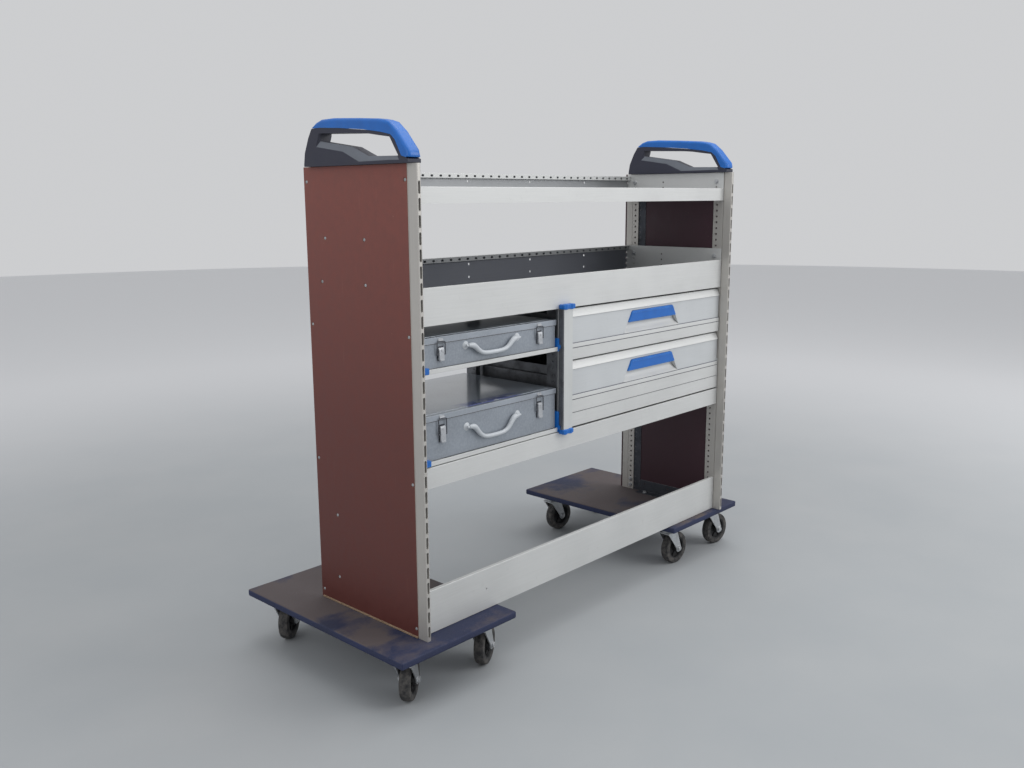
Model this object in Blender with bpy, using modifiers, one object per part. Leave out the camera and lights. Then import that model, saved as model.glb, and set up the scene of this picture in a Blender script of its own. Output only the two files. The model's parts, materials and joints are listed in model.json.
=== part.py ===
"""Aluminium van-racking unit on two wheeled dollies, in metres, +Z up, +X to its right, front at -Y.

The origin is on the floor under the middle of the unit. Two side frames (plywood panel, two aluminium
uprights, carrying handle) hold three folded shelves and a bottom rail. Two drawers run on the right of a
divider and two metal cases stand on slide-out trays on its left. Each side frame stands on a dolly.
"""

from math import cos, pi, radians, sin

import bmesh
import bpy
from mathutils import Matrix, Vector

# Driving dimensions
GAP = 0.0003  # between pieces that touch
SHEET = 0.002  # folded aluminium sheet
MIDDLE_X = -0.0105  # middle of the racking: the right wheels stand past their board, so it isn't at 0
FRAME_X = 0.632  # half the length over the side frames: a 252 mm grid, five times, and 4 mm
FRAME_Y = -0.095  # middle of the racking's depth
FRAME_DEPTH = 0.384
FRAME_HEIGHT = 1.051
NOSE = 0.026  # the uprights stand this far in front of the shelves
UPRIGHT = 0.011  # thickness of an upright, across the unit
UPRIGHT_NOSE = 0.0310  # width of the front upright outside, ahead of the panel
UPRIGHT_DEPTH = 0.060
BACK_UPRIGHT_DEPTH = 0.074
BACK_UPRIGHT_STEP = 0.0475  # where the back upright steps in to a thin flange
PANEL = 0.0065
PANEL_BACK = 0.0075  # the panel reaches this far past the back uprights
ANGLE_SHEET = 0.0014
ANGLE_REACH = 0.036
ANGLE_HEIGHT = 0.038
DECK_TOP = 0.148
DECK_THICK = 0.018
DECK_X = (0.3745, 0.7375)
DECK_LENGTH = 0.600
DECK_STAGGER = 0.043  # the right dolly is pushed this much further back

FRONT = FRAME_Y - FRAME_DEPTH / 2
BACK = FRAME_Y + FRAME_DEPTH / 2
RAIL_Y = FRONT + NOSE  # front plane of the shelves
FLOOR = DECK_TOP + GAP  # what the racking stands on
INNER_X = FRAME_X - UPRIGHT - 2 * GAP  # half the length of the shelves
FRAME_TOP = DECK_TOP + FRAME_HEIGHT

# Casters
WHEEL_R = 0.050
WHEEL_WIDTH = 0.026
WHEEL_SIDES = 28
AXLE_R = 0.006
TRAIL = 0.033
FORK_HALF = 0.0175  # inner face of a fork leg from the wheel's middle
FORK_SHEET = 0.003
CROWN = 2 * WHEEL_R + 0.004  # underside of the fork's bridge
LEG_X = (-0.020, 0.024)
LEG_FOOT = 0.0115
HEAD_R = (0.019, 0.024)
AXLE_OUT = 0.005  # past each leg
CASTER_INSET = (0.062, 0.064)
PLATE = (0.076, 0.062, 0.004)
CASTER_YAW = {
    "left_front_outer": 34, "left_front_inner": 26, "left_back_outer": 35, "left_back_inner": 30,
    "right_front_inner": -4, "right_front_outer": -7, "right_back_inner": -5, "right_back_outer": -2,
}

# Heights above the deck: bottom, top of the front lip, top of the back wall, top of the side plates
SHELVES = {
    "top_shelf": (0.968, 1.004, 1.044, 1.050),
    "middle_shelf": (0.708, 0.791, 0.824, 0.8245),
    "lower_shelf": (0.344, 0.392, 0.488, 0.488),
}
SHELF_BACK = BACK - 0.004
BOTTOM_RAIL_TOP = 0.104

# Divider between the cases and the drawers
DIVIDER_X = MIDDLE_X - 0.128
DIVIDER_WIDTH = 0.039
DIVIDER_FRONT = RAIL_Y - 0.0155
DIVIDER_WEB = (0.012, 0.052)  # width, and depth behind the shelves' front plane
DIVIDER_BACK_POST = (0.018, 0.036)
SHELF_FLANGE = 0.012

# Drawers. Heights above the deck: bottom, top, middle of the runners
DRAWERS = {"upper": (0.5725, 0.7045, 0.620), "lower": (0.3965, 0.5695, 0.511)}
DRAWER_X = (MIDDLE_X - 0.108, MIDDLE_X + 0.6178)
DRAWER_FRONT_DEPTH = 0.019
DRAWER_BACK = BACK - 0.020
DRAWER_WALL = 0.0015
TOP_BAND = 0.0225  # height of the sloping band along the top of a front
RECESSED = 0.089  # from the top of a front down to the foot of its recessed panel
RUNNER_REACH = 0.0115  # between a drawer's box and the end of its front
RUNNER_SHEET = 0.0015
RUNNER_HALF = 0.015
GRIP_X = MIDDLE_X + 0.264
GRIP_HALF = 0.104  # half the grip's width where its top corners start
GRIP_CORNER = (0.010, 0.012)
GRIP_HEIGHT = 0.031
PULL_DEPTH = 0.060  # height of the recess that the grip is in
PULL_FLARE = 0.030  # the recess is this much wider at its foot than at its corners, each side

# Cases. Heights above the deck: bottom, lid's lower edge, top
CASES = {"upper": (0.6125, 0.667, 0.681), "lower": (0.405, 0.494, 0.507)}
CASE_X = (MIDDLE_X - 0.612, MIDDLE_X - 0.153)
CASE_FRONT = RAIL_Y + 0.006
CASE_DEPTH = 0.328
CASE_WALL = 0.0016
LID_RIM = 0.0012  # a lid stands this far out past its case
TRAY_HEIGHT = 0.0105
TRAY_LIP = 0.003
TRAY_RUNNER = (0.06, 0.02)  # inset from the case's side, and half the width
BAIL_R = 0.0055
BAIL_HALF = 0.074
BAIL_STEPS = 14
BAIL_FULLNESS = 1.35  # over 1, the bail's curve has a flat stretch in its middle
# Bail: pivot below the seam, and how far the bar hangs; latch: height
CASE_FITTINGS = {"upper": (0.014, 0.026, 0.040), "lower": (0.030, 0.040, 0.052)}
LATCH_X = 0.165
LATCH_HALF = 0.0135
LATCH_OVERLAP = 0.004  # over the lid's edge

parts = bpy.data.collections.new("racking_unit_on_dollies")
helpers = bpy.data.collections.new("cutters")
materials = {}


def clear_scene():
    for old in list(bpy.data.objects):
        bpy.data.objects.remove(old, do_unlink=True)
    bpy.context.scene.collection.children.link(parts)
    bpy.context.scene.collection.children.link(helpers)
    helpers.hide_render = True


def finish_of(name, colour, roughness, metallic=0.0):
    """The material of this name, made the first time it is asked for."""
    if name not in materials:
        made = bpy.data.materials.new(name)
        made.use_nodes = True
        shader = made.node_tree.nodes["Principled BSDF"]
        shader.inputs["Base Color"].default_value = (*colour, 1.0)
        shader.inputs["Roughness"].default_value = roughness
        shader.inputs["Metallic"].default_value = metallic
        materials[name] = made
    return materials[name]


def aluminium():
    return finish_of("satin_aluminium", (0.55, 0.55, 0.53), 0.42, 0.85)


def zinc():
    return finish_of("zinc_steel", (0.48, 0.49, 0.50), 0.35, 0.9)


def grey_enamel():
    return finish_of("grey_enamel", (0.27, 0.30, 0.34), 0.45, 0.1)


def blue_plastic():
    return finish_of("blue_plastic", (0.02, 0.13, 0.47), 0.5)


def add(name, bm, material, at=None):
    """A new node from bm, with its faces turned out; its mesh is kept about the point given by at."""
    bmesh.ops.recalc_face_normals(bm, faces=bm.faces)
    origin = Vector(at) if at else Vector()
    bmesh.ops.translate(bm, verts=bm.verts, vec=-origin)
    mesh = bpy.data.meshes.new(name)
    bm.to_mesh(mesh)
    bm.free()
    obj = bpy.data.objects.new(name, mesh)
    obj.location = origin
    parts.objects.link(obj)
    mesh.materials.append(material)
    return obj


def helper(obj):
    """Makes obj a cutter or a shape to join, which no render shows."""
    parts.objects.unlink(obj)
    helpers.objects.link(obj)
    obj.hide_render = True
    obj.display_type = "WIRE"
    return obj


def block(low, high):
    bm = bmesh.new()
    size = Vector(high) - Vector(low)
    middle = (Vector(high) + Vector(low)) / 2
    bmesh.ops.create_cube(bm, size=1.0, matrix=Matrix.Translation(middle) @ Matrix.Diagonal((*size, 1.0)))
    return bm


def prism(outline, low, high, axis="X"):
    """An outline of two coordinates, swept along axis from low to high; the two are the others, in order."""
    place = {
        "X": lambda a, b, along: (along, a, b),
        "Y": lambda a, b, along: (a, along, b),
        "Z": lambda a, b, along: (a, b, along),
    }[axis]
    bm = bmesh.new()
    face = bm.faces.new([bm.verts.new(place(a, b, low)) for a, b in outline])
    swept = bmesh.ops.extrude_face_region(bm, geom=[face])
    step = Vector(place(0, 0, high - low))
    bmesh.ops.translate(bm, verts=[v for v in swept["geom"] if isinstance(v, bmesh.types.BMVert)], vec=step)
    return bm


def tray_shape(low, high, wall, floor, opens_up=True):
    """A box with walls and a floor, open at its top or, for a lid, at its bottom."""
    bm = block(low, high)
    bm.normal_update()
    up = 1 if opens_up else -1
    mouth = max(bm.faces, key=lambda face: up * face.normal.z)
    bmesh.ops.inset_region(bm, faces=[mouth], thickness=wall)
    pushed = bmesh.ops.extrude_face_region(bm, geom=[mouth])
    depth = (high[2] - low[2] - floor) * -up
    moved = [v for v in pushed["geom"] if isinstance(v, bmesh.types.BMVert)]
    bmesh.ops.translate(bm, verts=moved, vec=(0, 0, depth))
    bmesh.ops.delete(bm, geom=[mouth], context="FACES_ONLY")
    return bm


def boolean(obj, other, operation):
    modifier = obj.modifiers.new(operation.lower(), "BOOLEAN")
    modifier.operation = operation
    modifier.object = helper(other)
    modifier.solver = "EXACT"


def join(obj, bm):
    boolean(obj, add(obj.name + "_joined", bm, obj.data.materials[0]), "UNION")


def cut(obj, bm):
    boolean(obj, add(obj.name + "_cut", bm, obj.data.materials[0]), "DIFFERENCE")


def soften(obj, width, segments=1):
    modifier = obj.modifiers.new("soft_edges", "BEVEL")
    modifier.width = width
    modifier.segments = segments
    modifier.limit_method = "ANGLE"
    modifier.angle_limit = radians(40)


def arc(centre, radius, start, end, steps):
    """Points on an arc, with its angles in degrees."""
    angles = [radians(start + (end - start) * i / steps) for i in range(steps + 1)]
    return [(centre[0] + radius * cos(a), centre[1] + radius * sin(a)) for a in angles]


# Dollies and their casters


def deck_span(side):
    """Low and high X, and low and high Y, of a dolly's board: side is -1 on the left, 1 on the right."""
    low_x, high_x = sorted(MIDDLE_X + side * x for x in DECK_X)
    front = -(DECK_LENGTH + DECK_STAGGER) / 2 + (DECK_STAGGER if side > 0 else 0)
    return low_x, high_x, front, front + DECK_LENGTH


def caster_places(side):
    """Name and swivel axis of each caster under one dolly."""
    low_x, high_x, front, back = deck_span(side)
    word = "right" if side > 0 else "left"
    for row, y in (("front", front + CASTER_INSET[1]), ("back", back - CASTER_INSET[1])):
        for x in (low_x + CASTER_INSET[0], high_x - CASTER_INSET[0]):
            yield f"{word}_{row}_{'outer' if abs(x - MIDDLE_X) > sum(DECK_X) / 2 else 'inner'}", x, y


def dolly(side):
    low_x, high_x, front, back = deck_span(side)
    name = "dolly_board_" + ("right" if side > 0 else "left")
    blue = finish_of("dolly_blue", (0.03, 0.05, 0.15), 0.8)
    board = add(name, block((low_x, front, DECK_TOP - DECK_THICK), (high_x, back, DECK_TOP)), blue)
    soften(board, 0.004, 2)
    under = DECK_TOP - DECK_THICK
    for _, x, y in caster_places(side):
        low = (x - PLATE[0] / 2, y - PLATE[1] / 2, under - PLATE[2])
        join(board, block(low, (x + PLATE[0] / 2, y + PLATE[1] / 2, under + PLATE[2])))


def caster(name, x, y):
    """A fork with its riveted axle, and its wheel. The fork is made trailing along +X, then turned."""
    turn = Matrix.Translation((x, y, 0)) @ Matrix.Rotation(radians(CASTER_YAW[name]), 4, "Z")
    head_top = DECK_TOP - DECK_THICK - PLATE[2] - GAP
    leg = [(x_edge, CROWN + FORK_SHEET) for x_edge in LEG_X]
    leg += arc((TRAIL, WHEEL_R), LEG_FOOT, 10, -190, 8)
    fork = add("caster_fork_" + name, prism(leg, FORK_HALF, FORK_HALF + FORK_SHEET, "Y"), zinc())
    join(fork, prism(leg, -FORK_HALF - FORK_SHEET, -FORK_HALF, "Y"))
    reach = FORK_HALF + FORK_SHEET
    inset = 0.0005  # keeps the joined faces from nearly coinciding
    bridge_low = (LEG_X[0] + inset, inset - reach, CROWN - GAP)
    join(fork, block(bridge_low, (LEG_X[1] - inset, reach - inset, CROWN + FORK_SHEET - GAP)))
    head = bmesh.new()
    head_low = CROWN + 0.001
    bmesh.ops.create_cone(
        head, cap_ends=True, segments=20, radius1=HEAD_R[0], radius2=HEAD_R[1], depth=head_top - head_low,
        matrix=Matrix.Translation((0.001, 0, (head_low + head_top) / 2)),
    )
    join(fork, head)
    axle = bmesh.new()
    lay = Matrix.Translation((TRAIL, 0, WHEEL_R)) @ Matrix.Rotation(pi / 2, 4, "X")
    bmesh.ops.create_cone(
        axle, cap_ends=True, segments=12, radius1=AXLE_R, radius2=AXLE_R,
        depth=2 * (reach + AXLE_OUT), matrix=lay,
    )
    join(fork, axle)
    fork.matrix_world = turn
    for modifier in fork.modifiers:
        modifier.object.matrix_world = turn

    rubber = finish_of("tyre_rubber", (0.045, 0.045, 0.047), 0.6)
    wheel = add("caster_wheel_" + name, wheel_profile(), rubber)
    screw = wheel.modifiers.new("turned", "SCREW")
    screw.axis = "Z"
    screw.steps = screw.render_steps = WHEEL_SIDES
    screw.use_merge_vertices = True
    screw.merge_threshold = 0.00005
    axle_line = Vector((0, -1, 0))
    flat_down = Matrix.Rotation(pi / WHEEL_SIDES, 3, axle_line) @ Vector((0, 0, -1))
    axes = Matrix((flat_down, axle_line.cross(flat_down), axle_line)).transposed().to_4x4()
    wheel.matrix_world = turn @ Matrix.Translation((TRAIL, 0, WHEEL_R)) @ axes


def wheel_profile():
    """Half section of tyre, rim and hub, a closed line about Z. The flats stand WHEEL_R from the axle."""
    radius = WHEEL_R / cos(pi / WHEEL_SIDES)
    half = WHEEL_WIDTH / 2
    hub_half = FORK_HALF - 0.001
    bore = AXLE_R + 0.0008
    side = [
        (radius, 0.0), (radius - 0.001, half * 0.6), (radius - 0.0045, half),
        (radius - 0.016, half - 0.001), (radius - 0.018, half - 0.006), (bore + 0.008, half - 0.006),
        (bore + 0.006, hub_half), (bore, hub_half),
    ]
    line = [(r, -a) for r, a in side[:0:-1]] + side
    bm = bmesh.new()
    verts = [bm.verts.new((r, 0, a)) for r, a in reversed(line)]
    for one, other in zip(verts, verts[1:] + verts[:1]):
        bm.edges.new((one, other))
    return bm


# Side frames


def side_frame(side):
    word = "right" if side > 0 else "left"
    out = MIDDLE_X + side * FRAME_X

    def at(depth):
        """X at a depth measured inwards from the frame's outer face."""
        return out - side * depth

    phenolic = finish_of("phenolic_plywood", (0.13, 0.035, 0.03), 0.55)
    panel_front = FRONT + UPRIGHT_NOSE
    low, high = sorted((at(0), at(PANEL)))
    add(f"side_panel_{word}", block((low, panel_front, FLOOR), (high, BACK + PANEL_BACK, FRAME_TOP)), phenolic)

    behind = PANEL + GAP
    front = [
        (at(0), FRONT), (at(UPRIGHT), FRONT), (at(UPRIGHT), FRONT + UPRIGHT_DEPTH),
        (at(behind), FRONT + UPRIGHT_DEPTH), (at(behind), panel_front - GAP), (at(0), panel_front - GAP),
    ]
    upright = add(f"upright_front_{word}", prism(front, FLOOR, FRAME_TOP, "Z"), aluminium())
    soften(upright, 0.0006)
    flange = behind + 0.0012
    front_edge, step, rear = BACK - BACK_UPRIGHT_DEPTH, BACK - BACK_UPRIGHT_STEP, BACK - 0.0005
    back = [
        (at(behind), front_edge), (at(flange), front_edge), (at(flange), step), (at(UPRIGHT), step),
        (at(UPRIGHT), rear - 0.003), (at(UPRIGHT - 0.002), rear), (at(behind), rear),
    ]
    add(f"upright_back_{word}", prism(back, FLOOR, FRAME_TOP, "Z"), aluminium())

    web = behind + ANGLE_SHEET
    shelf_z = FLOOR + ANGLE_SHEET
    bar = [
        (at(behind), FLOOR), (at(ANGLE_REACH), FLOOR), (at(ANGLE_REACH), shelf_z), (at(web), shelf_z),
        (at(web), FLOOR + ANGLE_HEIGHT), (at(behind), FLOOR + ANGLE_HEIGHT),
    ]
    ends = (FRONT + UPRIGHT_DEPTH + GAP, BACK - BACK_UPRIGHT_DEPTH - GAP)
    dark = finish_of("dark_steel", (0.09, 0.095, 0.10), 0.5, 0.5)
    add(f"base_angle_{word}", prism(bar, *ends, "Y"), dark)
    handle(side, word, at)


# The handle's outlines: Y from the middle of the racking's depth, Z above the side frame
HANDLE_THICK = 0.036
GRIP_OUTER = [
    (0.1435, 0.0860), (0.1300, 0.0960), (0.1110, 0.1015), (0.0690, 0.1022), (-0.0110, 0.0980), (-0.0840, 0.0930),
    (-0.1210, 0.0850), (-0.1450, 0.0660), (-0.1790, 0.0275), (-0.1820, 0.0160), (-0.1800, 0.0120),
]
GRIP_INNER = [
    (-0.1735, 0.0110), (-0.1590, 0.0150), (-0.1400, 0.0480), (-0.1260, 0.0590), (-0.0930, 0.0655),
    (-0.0400, 0.0725), (0.0420, 0.0795), (0.1140, 0.0835), (0.1400, 0.0835),
]
CLEAR = 0.0005  # between the grip and the base under it
BASE_OUTER = [(y + CLEAR, z - CLEAR) for y, z in reversed(GRIP_INNER)] + [
    (-0.1795, 0.0080), (-0.1795, 0.0015), (-0.1780, 0.0), (0.1775, 0.0), (0.1780, 0.0040), (0.1735, 0.0300),
    (0.1583, 0.0623), (0.1450, 0.0820),
]
FINGER_GAP = [
    (0.1190, 0.0545), (0.1185, 0.0715), (-0.0100, 0.0668), (-0.0590, 0.0628), (-0.0928, 0.0580), (-0.1239, 0.0540),
    (-0.1500, 0.0152), (-0.0490, 0.0172), (0.0055, 0.0387), (0.0500, 0.0448),
]


def handle(side, word, at):
    overhang = (HANDLE_THICK - UPRIGHT) / 2
    low, high = sorted((at(-overhang), at(UPRIGHT + overhang)))
    stand = FRAME_TOP + GAP

    def placed(outline):
        return [(FRAME_Y + y, stand + z) for y, z in outline]

    anthracite = finish_of("anthracite_plastic", (0.025, 0.028, 0.045), 0.5)
    base = add(f"handle_base_{word}", prism(placed(BASE_OUTER), low, high), anthracite)
    through = 0.01  # how far the cutter runs past each face
    cut(base, prism(placed(FINGER_GAP), low - through, high + through))
    grip = add(f"handle_grip_{word}", prism(placed(GRIP_OUTER + GRIP_INNER), low, high), blue_plastic())
    soften(grip, 0.003, 2)


# Shelves, bottom rail and divider


def shelf(name, bottom, lip, wall, plate):
    """One folded sheet with a hemmed front lip and a flanged back wall, and a plate at each end."""
    bottom, lip, wall, plate = (DECK_TOP + height for height in (bottom, lip, wall, plate))
    y0, y1 = RAIL_Y, SHELF_BACK
    section = [
        (y0, bottom), (y0, lip - 0.001), (y0 + 0.001, lip), (y0 + 0.007, lip), (y0 + 0.007, lip - 0.0025),
        (y0 + SHEET, lip - 0.0025), (y0 + SHEET, bottom + SHEET), (y1 - SHEET, bottom + SHEET),
        (y1 - SHEET, wall - SHEET), (y1 - SHELF_FLANGE, wall - SHEET), (y1 - SHELF_FLANGE, wall), (y1, wall),
        (y1, bottom),
    ]
    made = add(name, prism(section, MIDDLE_X - INNER_X, MIDDLE_X + INNER_X), aluminium())
    for side in (-1, 1):
        low, high = sorted(MIDDLE_X + side * (INNER_X - inset) for inset in (0.0001, SHEET))
        join(made, block((low, y0 + 0.0005, bottom + 0.0005), (high, y1 - 0.0005, plate + 0.0001)))


def bottom_rail():
    y0, low, top = RAIL_Y, FLOOR + 0.001, DECK_TOP + BOTTOM_RAIL_TOP
    section = [
        (y0, low), (y0, top - 0.001), (y0 + 0.001, top), (y0 + 0.010, top), (y0 + 0.010, top - SHEET),
        (y0 + SHEET, top - SHEET), (y0 + SHEET, low + SHEET), (y0 + 0.018, low + SHEET), (y0 + 0.018, low),
    ]
    add("bottom_front_rail", prism(section, MIDDLE_X - INNER_X, MIDDLE_X + INNER_X), aluminium())


def divider():
    shelf_low = DECK_TOP + SHELVES["middle_shelf"][0]
    stands, under = DECK_TOP + SHELVES["lower_shelf"][0] + SHEET + GAP, shelf_low - GAP
    half = DIVIDER_WIDTH / 2
    lip = DECK_TOP + SHELVES["lower_shelf"][1]
    low, high = DIVIDER_X - half, DIVIDER_X + half
    nose = block((low, DIVIDER_FRONT, lip + 0.008), (high, RAIL_Y + 0.009, under - 0.001))
    post = add("divider_post_front", nose, aluminium())
    web = DIVIDER_WEB[0] / 2
    web_high = (DIVIDER_X + web, RAIL_Y + DIVIDER_WEB[1], under)
    join(post, block((DIVIDER_X - web, RAIL_Y + 0.0075, stands), web_high))
    rear = SHELF_BACK - SHELF_FLANGE - GAP  # clear of the flange along the shelf's back wall
    web = DIVIDER_BACK_POST[0] / 2
    back = block((DIVIDER_X - web, rear - DIVIDER_BACK_POST[1], stands), (DIVIDER_X + web, rear, under))
    add("divider_post_back", back, aluminium())
    caps = {"top": (under - 0.001 + GAP, shelf_low + 0.011, 0.0045), "bottom": (lip - 0.004, lip + 0.008 - GAP, 0)}
    for word, (bottom, top, beside) in caps.items():
        shape = block((low - 0.0008, DIVIDER_FRONT - 0.003, bottom), (high + beside, RAIL_Y - GAP, top))
        cap = add(f"divider_cap_{word}", shape, blue_plastic())
        soften(cap, 0.0015)


# Drawers, on the right of the divider


def pull_outline(top, foot, clear=0.0):
    """A pull's recess, or the grip in it, as X and Z: rounded at its top, and wider downwards."""
    corner = top - GRIP_CORNER[1]
    spread = PULL_FLARE / (corner - (top - PULL_DEPTH))
    half_foot = GRIP_HALF + (corner - foot) * spread - clear
    half, half_top = GRIP_HALF - clear, GRIP_HALF - GRIP_CORNER[0] - clear
    return [
        (GRIP_X - half_foot, foot), (GRIP_X + half_foot, foot), (GRIP_X + half, corner),
        (GRIP_X + half_top, top - clear), (GRIP_X - half_top, top - clear), (GRIP_X - half, corner),
    ]


def drawer(word, bottom, top, runner):
    low, high = DECK_TOP + bottom, DECK_TOP + top
    x0, x1 = DRAWER_X
    face = RAIL_Y
    back = face + DRAWER_FRONT_DEPTH
    fold = high - TOP_BAND  # foot of the sloping band
    ledge = high - RECESSED
    section = [
        (back, low), (face + 0.001, low), (face, low + 0.001), (face, ledge - 0.0135),
        (face + 0.0012, ledge - 0.0143), (face + 0.0012, ledge - 0.001), (face + 0.003, ledge),
        (face + 0.003, fold - 0.001), (face, fold),
        (face + 0.009, high - 0.001), (face + 0.011, high), (back, high),
    ]
    front = add(f"drawer_front_{word}", prism(section, x0, x1), aluminium())
    pull_top = fold - 0.006
    cut(front, prism(pull_outline(pull_top, pull_top - PULL_DEPTH), face - 0.01, face + 0.016, "Y"))
    grip = pull_outline(pull_top, pull_top - GRIP_HEIGHT, 0.0006)
    add(f"drawer_grip_{word}", prism(grip, face - 0.002, face + 0.012, "Y"), blue_plastic())

    inset = RUNNER_REACH + 0.001
    box_low, box_high = (x0 + inset, back + GAP, low + 0.006), (x1 - inset, DRAWER_BACK, high - 0.020)
    shell = tray_shape(box_low, box_high, DRAWER_WALL, DRAWER_WALL)
    add(f"drawer_box_{word}", shell, finish_of("grey_sheet", (0.22, 0.225, 0.23), 0.5, 0.6))

    middle = DECK_TOP + runner
    lips = (middle - RUNNER_HALF, middle + RUNNER_HALF)
    inner = (lips[0] + RUNNER_SHEET, lips[1] - RUNNER_SHEET)
    for hand, outer, inward in (("left", x0, 1), ("right", x1, -1)):
        web, reach = outer + inward * RUNNER_SHEET, outer + inward * (RUNNER_REACH - 0.001)
        rail = [
            (outer, lips[0]), (reach, lips[0]), (reach, inner[0]), (web, inner[0]),
            (web, inner[1]), (reach, inner[1]), (reach, lips[1]), (outer, lips[1]),
        ]
        ends = (back + 0.004, BACK - 0.050)
        add(f"drawer_runner_{word}_{hand}", prism(rail, *ends, "Y"), zinc())


# Cases on slide-out trays, on the left of the divider


def case(word, bottom, seam, top):
    low, seam, top = (DECK_TOP + height for height in (bottom, seam, top))
    x0, x1 = CASE_X
    y0, y1 = CASE_FRONT, CASE_FRONT + CASE_DEPTH
    body = tray_shape((x0, y0, low), (x1, y1, seam - GAP), CASE_WALL, CASE_WALL)
    add(f"case_body_{word}", body, grey_enamel())
    lid_low, lid_high = (x0 - LID_RIM, y0 - LID_RIM, seam), (x1 + LID_RIM, y1 + LID_RIM, top)
    lid = tray_shape(lid_low, lid_high, CASE_WALL, CASE_WALL, opens_up=False)
    add(f"case_lid_{word}", lid, grey_enamel(), at=(0, y1, seam))

    tray_low = low - TRAY_HEIGHT
    plate, tray_top = tray_low + TRAY_LIP, low - GAP
    section = [
        (y0 - 2 * TRAY_LIP, tray_low), (y0 - 2 * TRAY_LIP, tray_top), (y0 - TRAY_LIP, tray_top),
        (y0 - TRAY_LIP, plate), (y1 - TRAY_LIP, plate), (y1 - TRAY_LIP, tray_top), (y1, tray_top),
        (y1, tray_low),
    ]
    tray = add(f"case_tray_{word}", prism(section, x0 - 0.004, x1 + 0.004), aluminium())
    inset, half = TRAY_RUNNER
    for middle in (x0 + inset, x1 - inset):
        join(tray, block((middle - half, y0 + 0.01, tray_low + 0.001), (middle + half, y1 - 0.01, tray_top)))

    centre = (x0 + x1) / 2
    pivot, drop, latch_height = CASE_FITTINGS[word]
    bail(word, Vector((centre, y0 - 0.0075, seam - pivot)), drop)
    latch_top = seam + LATCH_OVERLAP
    for hand, x in (("left", centre - LATCH_X), ("right", centre + LATCH_X)):
        latch(f"case_latch_{word}_{hand}", x, y0 - LID_RIM - GAP, latch_top - latch_height, latch_top)


def bail(word, pivot, drop):
    """A hanging bail: two ends along the pivot line and a bar that curves down between them."""
    end = BAIL_HALF + 0.010
    places = [(-end, 0.0)]
    for i in range(BAIL_STEPS + 1):
        share = i / BAIL_STEPS
        places.append((BAIL_HALF * (2 * share - 1), -drop * min(1.0, sin(pi * share) * BAIL_FULLNESS)))
    places.append((end, 0.0))
    curve = bpy.data.curves.new(f"case_bail_{word}", "CURVE")
    curve.dimensions = "3D"
    curve.bevel_depth = BAIL_R
    curve.bevel_resolution = 2
    curve.use_fill_caps = True
    spline = curve.splines.new("POLY")
    spline.points.add(len(places) - 1)
    for point, (x, z) in zip(spline.points, places):
        point.co = (x, 0, z, 1)
    obj = bpy.data.objects.new(f"case_bail_{word}", curve)
    obj.location = pivot
    parts.objects.link(obj)
    curve.materials.append(finish_of("light_grey_plastic", (0.50, 0.52, 0.54), 0.4))


def latch(name, x, y, low, high):
    """A toggle latch: a lever hinged at its foot, with a raised nose over the lid's edge."""
    outline = [
        (y, low - 0.002), (y, high), (y - 0.0022, high), (y - 0.0022, high - 0.010),
        (y - 0.0052, high - 0.014),
        (y - 0.0052, low + 0.003), (y - 0.0035, low - 0.002),
    ]
    made = add(name, prism(outline, x - LATCH_HALF, x + LATCH_HALF), zinc(), at=(x, y - 0.0025, low))
    soften(made, 0.0004)


clear_scene()
for which in (-1, 1):
    dolly(which)
    side_frame(which)
    for caster_name, caster_x, caster_y in caster_places(which):
        caster(caster_name, caster_x, caster_y)
for shelf_name, heights in SHELVES.items():
    shelf(shelf_name, *heights)
bottom_rail()
divider()
for level, span in DRAWERS.items():
    drawer(level, *span)
for level, heights in CASES.items():
    case(level, *heights)
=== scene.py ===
"""The aluminium racking unit on two wheeled dollies: its fine shapes, materials, light and camera."""

import json
from math import cos, pi, radians, sin

import bmesh
import bpy
from mathutils import Matrix, Vector


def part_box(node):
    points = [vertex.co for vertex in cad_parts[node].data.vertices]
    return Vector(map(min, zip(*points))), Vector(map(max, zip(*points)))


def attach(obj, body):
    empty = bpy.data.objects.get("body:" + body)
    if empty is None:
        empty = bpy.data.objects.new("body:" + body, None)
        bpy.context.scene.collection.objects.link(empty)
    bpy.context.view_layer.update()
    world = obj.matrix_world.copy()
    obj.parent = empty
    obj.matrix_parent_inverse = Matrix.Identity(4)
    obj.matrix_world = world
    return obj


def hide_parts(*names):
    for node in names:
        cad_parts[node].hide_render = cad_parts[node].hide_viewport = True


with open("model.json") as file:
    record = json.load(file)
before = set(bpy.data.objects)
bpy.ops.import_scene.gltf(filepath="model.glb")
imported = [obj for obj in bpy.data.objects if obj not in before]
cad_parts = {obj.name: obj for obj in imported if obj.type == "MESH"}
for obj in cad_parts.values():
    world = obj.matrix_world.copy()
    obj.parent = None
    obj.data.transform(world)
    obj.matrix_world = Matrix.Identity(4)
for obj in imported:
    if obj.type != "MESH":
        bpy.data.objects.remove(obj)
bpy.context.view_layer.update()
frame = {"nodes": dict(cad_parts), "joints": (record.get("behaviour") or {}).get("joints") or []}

# Places read from the frame
PANEL_LOW, PANEL_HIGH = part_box("side_panel_left")
MIDDLE_X = (PANEL_LOW.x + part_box("side_panel_right")[1].x) / 2
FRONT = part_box("upright_front_left")[0].y
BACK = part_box("upright_back_left")[1].y + 0.0005
FRAME_Y = (FRONT + BACK) / 2
DECK_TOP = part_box("dolly_board_left")[1].z
FRAME_FOOT, FRAME_TOP = PANEL_LOW.z, PANEL_HIGH.z
HANDS = ("left", "right")
SIDES = tuple(zip(HANDS, (-1, 1)))
LEVELS = ("upper", "lower")
STRIP = PANEL_LOW.y - FRONT  # width of the front uprights outside
JOINTS = {joint["name"]: joint for joint in frame["joints"]}
OVERLAP = 0.001  # how far a cutter runs past the face it enters


# Shapes


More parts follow.
